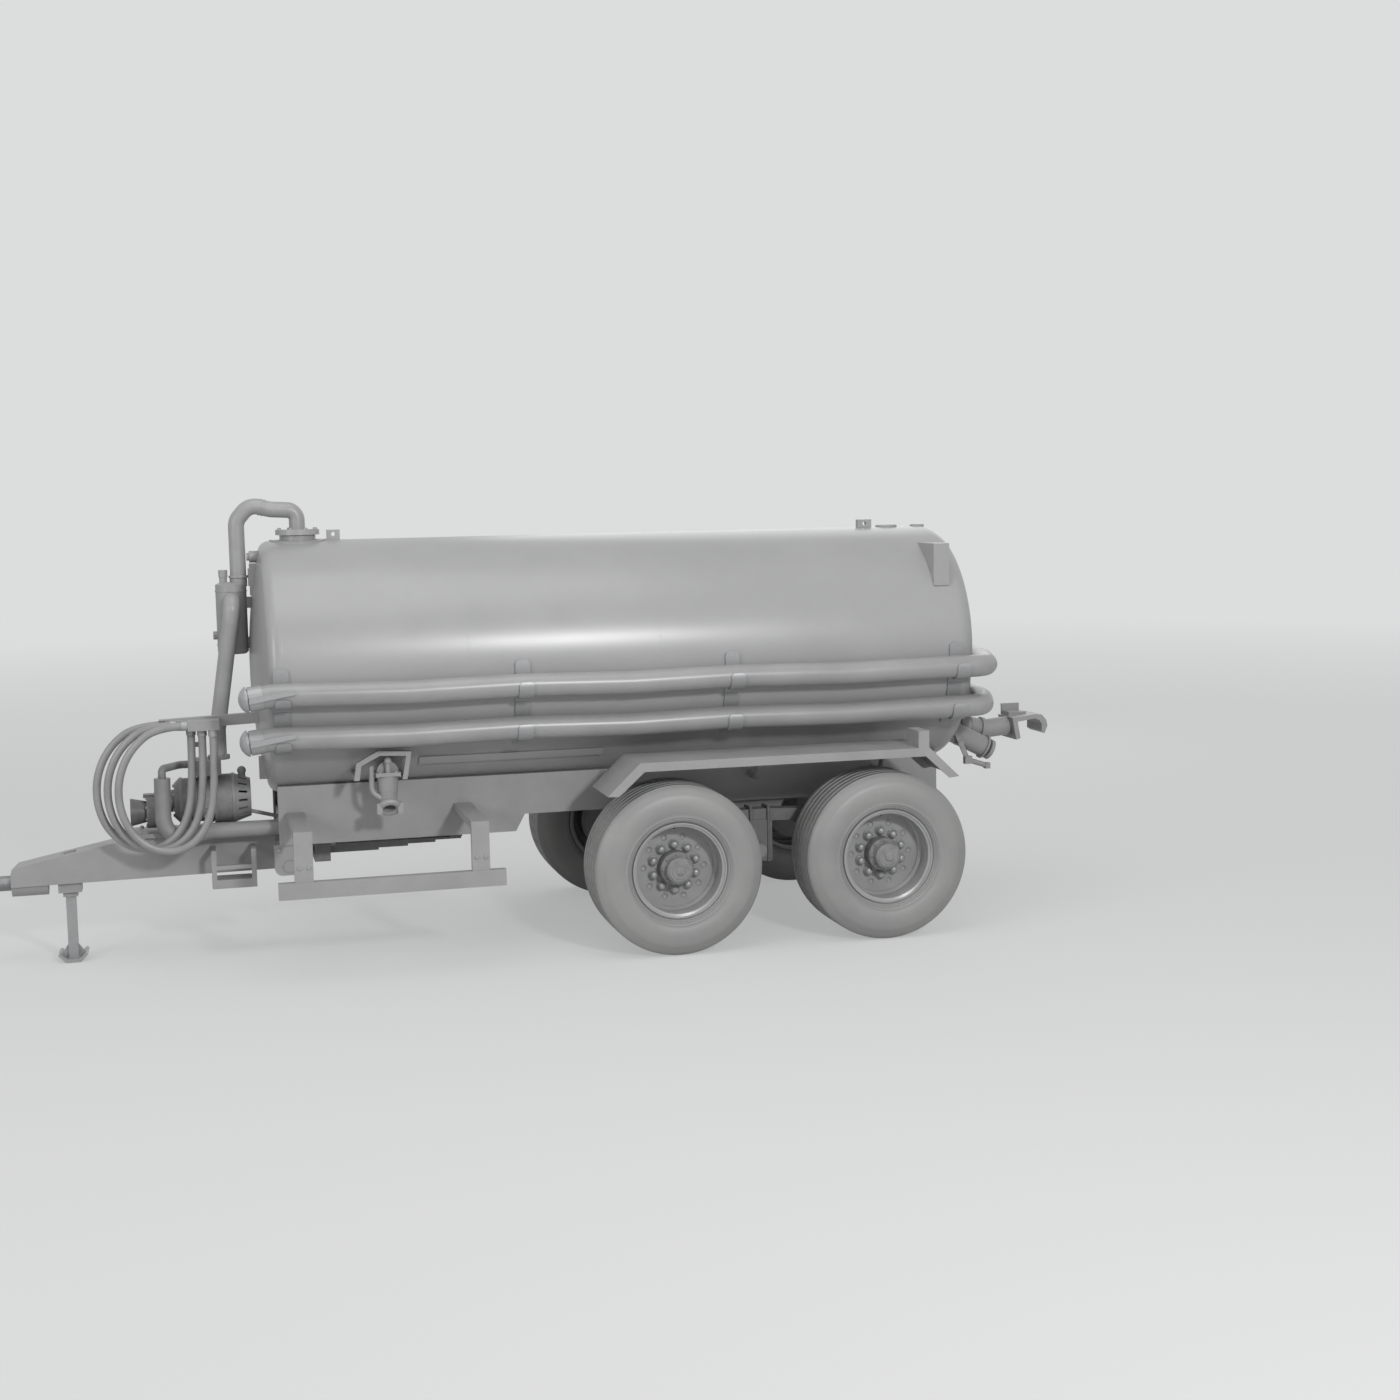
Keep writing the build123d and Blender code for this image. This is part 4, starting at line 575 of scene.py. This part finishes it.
# domed nuts, plugs, hub rings and air valve of a wheel, distances from its middle outwards
wheelTrim = {
    "count": 10,  # nuts on a disc, and plugs in the holes between them
    "discFace": 0.028,
    "nutCircle": 0.143,
    "nutSteps": 20,
    "nutDome": [
        (0, 0.0300), (0.014, 0.0300), (0.016, 0.0265), (0.030, 0.0258), (0.040, 0.0205), (0.0455, 0.0125),
        (0.047, 0),
    ],
    "plugCircle": 0.195,
    "plugSteps": 24,
    "plug": [
        (-0.006, 0.0165), (-0.0005, 0.0225), (0.0020, 0.0215), (0.0025, 0.0185), (-0.004, 0.0150),
        (-0.007, 0.0080), (-0.0075, 0),
    ],
    "capFace": 0.205,
    "capSteps": 40,
    "capRings": [
        (0, 0.056), (0.004, 0.053), (0.0045, 0.036), (0.004, 0.030), (0.009, 0.0275), (0.012, 0.021),
        (0.0125, 0),
    ],
    "hubFace": 0.133,
    "hubRings": [(0.134, 0.080, 0.010, 0.004), (0.186, 0.080, 0.005, 0.0025)],  # distance, radius, depth, rise
    "studCircle": 0.0925,
    "studCount": 8,
    "studFlats": 0.016,
    "studHeight": 0.011,
    "valveReach": 0.245,
    "valveLength": 0.055,
    "valveRadii": (0.005, 0.004),  # at the disc and at the tip
}


def addRoundDisc(bm, x, y, circle, profile, steps, firstStep, values):
    # the same turned part all round a wheel disc, the first one firstStep spaces from +X
    side = math.copysign(1, y)
    for number in range(values["count"]):
        turn = 2 * math.pi * (number + firstStep) / values["count"]
        height = axleHeight + circle * math.sin(turn)
        spot = place(x + circle * math.cos(turn), y + side * values["discFace"], height)
        addTurned(bm, spot, (0, side, 0), profile, steps)


def makeWheelTrim(values, materials):
    for wheel, (x, y) in wheelTable.items():
        side = math.copysign(1, y)
        out = (0, side, 0)
        bm = bmesh.new()
        addRoundDisc(bm, x, y, values["nutCircle"], values["nutDome"], values["nutSteps"], 0.5, values)
        finishPiece(bm, f"wheelNuts_{wheel}", "coupling_zinc", f"wheel_{wheel}", materials)
        bm = bmesh.new()
        addRoundDisc(bm, x, y, values["plugCircle"], values["plug"], values["plugSteps"], 0.0, values)
        finishPiece(bm, f"discPlugs_{wheel}", "rim_paint", f"wheel_{wheel}", materials)
        bm = bmesh.new()
        capFace = place(x, y + side * values["capFace"], axleHeight)
        addTurned(bm, capFace, out, values["capRings"], values["capSteps"])
        for distance, radius, depth, rise in values["hubRings"]:
            addRing(bm, place(x, y + side * distance, axleHeight), out, radius, depth, rise)
        addBoltRing(
            bm, place(x, y + side * values["hubFace"], axleHeight), out, values["studCircle"], values["studCount"],
            values["studFlats"], values["studHeight"],
        )
        valveMiddle = values["discFace"] + values["valveLength"] / 2
        stem = place(x, y + side * valveMiddle, axleHeight + values["valveReach"])
        root, tip = values["valveRadii"]
        bmesh.ops.create_cone(
            bm, cap_ends=True, segments=16, radius1=root, radius2=tip, depth=values["valveLength"],
            matrix=alongAxis(out, stem),
        )
        finishPiece(bm, f"wheelTrim_{wheel}", "hub_cast", f"wheel_{wheel}", materials, 45)
    print("wheel trim made")


# seam rings on the pipes
seamTable = {
    # where the ring starts, axis, pipe radius, depth, rise
    "gooseneckFirst": ((-3.060, 0, 2.813), (-0.971, 0, 0.239), 0.0500, 0.012, 0.0035),
    "gooseneckSecond": ((-3.080, 0, 2.818), (-0.971, 0, 0.239), 0.0500, 0.012, 0.0035),
    "vesselNeck": ((-3.236, 0, 2.376), (0, 0, 1), 0.0540, 0.016, 0.006),
    "vesselTop": ((-3.285, 0, 2.290), (0, 0, 1), 0.0960, 0.010, 0.003),
    "vesselFoot": ((-3.285, 0, 1.950), (0, 0, 1), 0.0960, 0.010, 0.003),
    "fillerNeck": ((-2.858, 0, 2.654), (0, 0, 1), 0.1130, 0.008, 0.003),
    "outletPipe": ((1.735, 0, 1.190), (1, 0, 0), 0.0660, 0.010, 0.004),
}


def makeSeams(seams, materials):
    bm = bmesh.new()
    for start, axis, radius, depth, rise in seams.values():
        addRing(bm, place(*start), axis, radius, depth, rise)
    finishPiece(bm, "pipeSeams", "pipe_paint", "root", materials)
    print("seams made")


# bolts on flanges and brackets
flangeTable = {
    # middle of the ring, axis, circle, count, across flats, height
    "filler": ((-2.858, 0, 2.673), (0, 0, 1), 0.122, 8, 0.019, 0.012),
    "outletGate": ((1.690, 0, 1.190), (1, 0, 0), 0.092, 4, 0.019, 0.012),
    "pumpEnd": ((-3.690, 0, 0.975), (-1, 0, 0), 0.095, 6, 0.017, 0.010),
    "drumRim": ((-3.315, 0, 0.975), (1, 0, 0), 0.147, 8, 0.010, 0.007),
    "pipeFoot": ((-3.405, -0.070, 1.262), (0, 0, 1), 0.060, 4, 0.013, 0.008),
    "gearbox": ((-3.860, 0, 0.915), (-1, 0, 0), 0.096, 8, 0.013, 0.008),
}
uprightBolts = {
    # places along X and along Y, Z, across flats, height
    "drawbarClamp": ((-2.815, -2.755), (-0.105, 0.105), 0.715, 0.030, 0.019),
    "pumpBase": ((-3.900, -3.350), (-0.110, 0.140), 0.790, 0.024, 0.015),
    "sideValvePlate": ((-2.456, -2.358), (-0.700, -0.580), 1.179, 0.017, 0.010),
}
pairedBolts = {
    # on both sides, pointing outwards: places along X, distance from the centre plane, Z, across flats, height
    "pivotBrackets": ((-3.070, -2.960), 0.375, 0.680, 0.024, 0.015),
    "sideGuardPosts": ((-2.991, -2.936, -1.940, -1.886), 1.145, 0.700, 0.019, 0.012),
    "mudguardStays": ((-0.860, 0.000, 0.860), 0.392, 1.040, 0.019, 0.012),
}


def makeBolts(materials):
    bm = bmesh.new()
    for middle, axis, circle, count, flats, height in flangeTable.values():
        addBoltRing(bm, place(*middle), axis, circle, count, flats, height, start=math.pi / count)
    for alongX, alongY, z, flats, height in uprightBolts.values():
        for y in alongY:
            for x in alongX:
                addBolt(bm, place(x, y, z), (0, 0, 1), flats, height)
    for alongX, y, z, flats, height in pairedBolts.values():
        for x in alongX:
            for side in (-1, 1):
                addBolt(bm, place(x, side * y, z), (0, side, 0), flats, height)
    finishPiece(bm, "boltHeads", "coupling_zinc", "root", materials, 30)
    print("bolts made")


# U-bolts over the leaf packs at the saddle between the axles
uBoltValues = {
    "radius": 0.010,
    "sideY": 0.560,  # middle of a leaf pack
    "half": 0.061,  # from there to a leg
    "alongX": [-0.060, 0.060],
    "nutsZ": 0.470,
    "topZ": 0.803,
    "legEnd": 0.022,  # below the nuts' seat
    "nutFlats": 0.024,
    "nutHeight": 0.014,
}


def makeUBolts(values, materials):
    bm = bmesh.new()
    low = values["nutsZ"]
    high = values["topZ"]
    for side in (-1, 1):
        inner, outer = [side * values["sideY"] + way * values["half"] for way in (-1, 1)]
        for x in values["alongX"]:
            for y in (inner, outer):
                addRod(bm, place(x, y, low - values["legEnd"]), place(x, y, high), values["radius"])
                addBolt(bm, place(x, y, low), (0, 0, -1), values["nutFlats"], values["nutHeight"])
            addRod(bm, place(x, inner, high), place(x, outer, high), values["radius"])
    finishPiece(bm, "springUBolts", "spring_steel", "root", materials)
    print("spring bolts made")


# raised bands and ribs on the vacuum pump
pumpValues = {
    "axisZ": 0.975,
    # start along X, radius of the body there, length, rise
    "bands": [
        (-3.660, 0.140, 0.022, 0.006), (-3.560, 0.140, 0.012, 0.004), (-3.470, 0.140, 0.022, 0.010),
        (-3.335, 0.155, 0.018, 0.005), (-3.445, 0.155, 0.012, 0.004),
    ],
    "ribCount": 12,
    "ribFirst": 15,  # degrees above +Y
    "ribCircle": 0.141,
    "ribRadius": 0.005,
    "ribRun": (-3.545, -3.475),
    "ribLowest": -0.09,  # below the axis, where the pump base takes over
    "ribGap": (0.12, 0.06),  # none above this height within this distance of the middle, under the valve
}


def makePumpBands(values, materials):
    bm = bmesh.new()
    for x, radius, length, rise in values["bands"]:
        addRing(bm, place(x, 0, values["axisZ"]), (1, 0, 0), radius, length, rise)
    start, end = values["ribRun"]
    gapHeight, gapHalf = values["ribGap"]
    for number in range(values["ribCount"]):
        turn = math.radians(values["ribFirst"] + 360 / values["ribCount"] * number)
        y = values["ribCircle"] * math.cos(turn)
        rise = values["ribCircle"] * math.sin(turn)
        if rise < values["ribLowest"] or (rise > gapHeight and abs(y) < gapHalf):
            continue
        z = values["axisZ"] + rise
        addRod(bm, place(start, y, z), place(end, y, z), values["ribRadius"], 10)
    finishPiece(bm, "pumpBands", "pump_paint", "root", materials)
    print("pump bands made")


# corrugated hose over the level gauge, and ferrules at the ends of the hydraulic loops
gaugeValues = {
    "foot": (1.557, -0.420, 1.362),
    "ribs": 34,
    "pitch": 0.012,
    "core": 0.0102,  # radius between the ribs
    "crest": 0.0135,
    "crestSpan": (0.3, 0.7),  # where in a pitch the crest starts and ends
    "wall": 0.002,
    "steps": 20,
}
ferruleValues = {"radius": 0.0245, "rise": 0.005, "length": 0.040, "steps": 32}


def makeHoseParts(gauge, ferrule, loops, materials):
    bm = bmesh.new()
    pitch, core, crest = gauge["pitch"], gauge["core"], gauge["crest"]
    first, last = gauge["crestSpan"]
    rows = [(0, core - gauge["wall"])]
    for number in range(gauge["ribs"]):
        height = number * pitch
        rows += [(height, core), (height + pitch * first, crest), (height + pitch * last, crest)]
    top = gauge["ribs"] * pitch
    rows += [(top, core), (top, core - gauge["wall"])]
    addTurned(bm, place(*gauge["foot"]), (0, 0, 1), rows, gauge["steps"])
    finishPiece(bm, "gaugeHose", "loop_rubber", "root", materials, 50)
    bm = bmesh.new()
    ends = [(loops["route"][0], (-1, 0, 0)), (loops["route"][-1], (0, 0, -1))]
    for number in range(loops["count"]):
        y = loops["firstY"] - number * loops["pitchY"]
        for (x, z), axis in ends:
            at = place(x + number * loops["pitchX"], y, z)
            addRing(bm, at, axis, ferrule["radius"], ferrule["length"], ferrule["rise"], ferrule["steps"])
    finishPiece(bm, "loopFerrules", "coupling_zinc", "root", materials)
    print("hose parts made")


# tongues of the hose straps on the tank, and the outer faces of their hooks
strapValues = {
    "middles": [-3.036, -1.570, -0.220, 1.308],
    "hookTops": [-14, 17, 17, 17],  # degrees above the hose's middle
    "hookBottom": -96,
    "hook": (0.0800, 0.0850, 0.026),  # inner and outer radius round the hose, corner
    "hoses": [(-0.8754, 1.700), (-0.7983, 1.430)],  # Y and Z of their middles
    "tongue": (-9.5, 3.5, 0.004, 0.014, 0.030),  # first and last angle, inner and outer rise, corner
    "shortTongue": (-25.3, -15.5, 0.004, 0.011, 0.012),
    "halfWidth": 0.0475,
    "chamfer": 0.0015,
    "steps": 26,
    "crowding": 1.6,  # above 1 the steps lie closer at the rounded end
}


def addBand(bm, x, y, z, radii, angles, corner, values):
    # strip bent round an axis along X, rounded at its upper end
    inner, outer = radii
    low, high = [math.radians(angle) for angle in angles]
    length = abs(high - low) * outer
    chamfer = values["chamfer"]
    previous = None
    for number in range(values["steps"] + 1):
        share = 1 - (1 - number / values["steps"]) ** values["crowding"]
        left = length * (1 - share)
        narrow = corner - math.sqrt(corner ** 2 - (corner - left) ** 2) if left < corner else 0.0
        half = values["halfWidth"] - narrow
        angle = low + (high - low) * share
        section = [
            (-half, inner), (-half, outer - chamfer), (-half + chamfer, outer),
            (half - chamfer, outer), (half, outer - chamfer), (half, inner),
        ]
        verts = []
        for across, reach in section:
            spot = place(x + across, y - reach * math.cos(angle), z + reach * math.sin(angle))
            verts.append(bm.verts.new(spot))
        if previous:
            for a in range(len(section)):
                b = (a + 1) % len(section)
                bm.faces.new((previous[a], previous[b], verts[b], verts[a]))
        else:
            bm.faces.new(verts)
        previous = verts
    bm.faces.new(previous)


def makeStraps(values, materials):
    bm = bmesh.new()
    for x, hookTop in zip(values["middles"], values["hookTops"]):
        for low, high, inner, outer, corner in (values["tongue"], values["shortTongue"]):
            radii = (tankRadius + inner, tankRadius + outer)
            addBand(bm, x, 0, tankAxisZ, radii, (low, high), corner, values)
        inner, outer, corner = values["hook"]
        for y, z in values["hoses"]:
            addBand(bm, x, y, z, (inner, outer), (values["hookBottom"], hookTop), corner, values)
    finishPiece(bm, "strapFaces", "strap_steel", "root", materials)
    print("straps made")


# weld beads round the tank where its courses and ends meet
weldValues = {
    "courses": [-3.020, -1.900, -0.680, 0.560, 1.300],
    "half": 0.005,  # half the width of a bead
    "flatness": 0.45,  # its height over its width
    "sunk": 0.002,
    "steps": 180,
}


def makeWelds(values, materials):
    bm = bmesh.new()
    for x in values["courses"]:
        at = place(x, 0, tankAxisZ)
        crown = Matrix.Translation(at + Vector((0, 0, tankRadius - values["sunk"])))
        section = Matrix.Rotation(math.pi / 2, 4, "X") @ Matrix.Scale(values["flatness"], 4, (0, 1, 0))
        ring = bmesh.ops.create_circle(
            bm, cap_ends=False, segments=8, radius=values["half"], matrix=crown @ section,
        )["verts"]
        spinRound(bm, ring, edgesOf(ring), at, (1, 0, 0), values["steps"])
    finishPiece(bm, "tankWelds", "tank_paint", "root", materials, 60)
    print("welds made")


# floor: pale and plain, fading into the backdrop with distance
floorValues = {
    "size": 160,
    "colour": "cfcfcf",
    "roughness": 0.9,
    "specular": 0.1,
    "near": 5.0,  # distances from the middle at which the fading starts and ends
    "far": 30.0,
    "nearShare": 0.50,
}


def makeFloor(values):
    material, tree, shader, coords = newMaterial("paleFloor", values["colour"], values["roughness"])
    shader.inputs["Specular IOR Level"].default_value = values["specular"]
    rays = addNode(tree, "ShaderNodeLightPath").outputs
    reach = addNode(tree, "ShaderNodeVectorMath", {"operation": "LENGTH"}, {0: coords})
    share = addNode(tree, "ShaderNodeMapRange", {
        "From Min": values["near"], "From Max": values["far"], "To Min": values["nearShare"], "To Max": 1.0,
    }, {"Value": reach.outputs["Value"]})
    shown = addNode(tree, "ShaderNodeMath", {"operation": "MULTIPLY"}, {0: share.outputs[0], 1: rays["Is Camera Ray"]})
    glow = addNode(tree, "ShaderNodeEmission", {"Color": toLinear(worldShown), "Strength": 1.0})
    out = next(node for node in tree.nodes if node.type == "OUTPUT_MATERIAL")
    addNode(tree, "ShaderNodeMixShader", None, {0: shown.outputs[0], 1: shader.outputs[0], 2: glow.outputs[0]},
            out.inputs["Surface"])
    bm = bmesh.new()
    bmesh.ops.create_grid(bm, x_segments=1, y_segments=1, size=values["size"])
    data = bpy.data.meshes.new("floor")
    bm.to_mesh(data)
    bm.free()
    data.materials.append(material)
    floor = bpy.data.objects.new("floor", data)
    bpy.context.scene.collection.objects.link(floor)
    print("floor made")


makeCamera(cameraValues)
makeLight()
materials = makeMaterials()
makeLoops(loopValues, materials["loop_rubber"])
dressNodes(materials)
makeTyres(materials)
makeWheelTrim(wheelTrim, materials)
makeSeams(seamTable, materials)
makeBolts(materials)
makeUBolts(uBoltValues, materials)
makePumpBands(pumpValues, materials)
makeHoseParts(gaugeValues, ferruleValues, loopValues, materials)
makeStraps(strapValues, materials)
makeWelds(weldValues, materials)
makeFloor(floorValues)
print("scene ready")
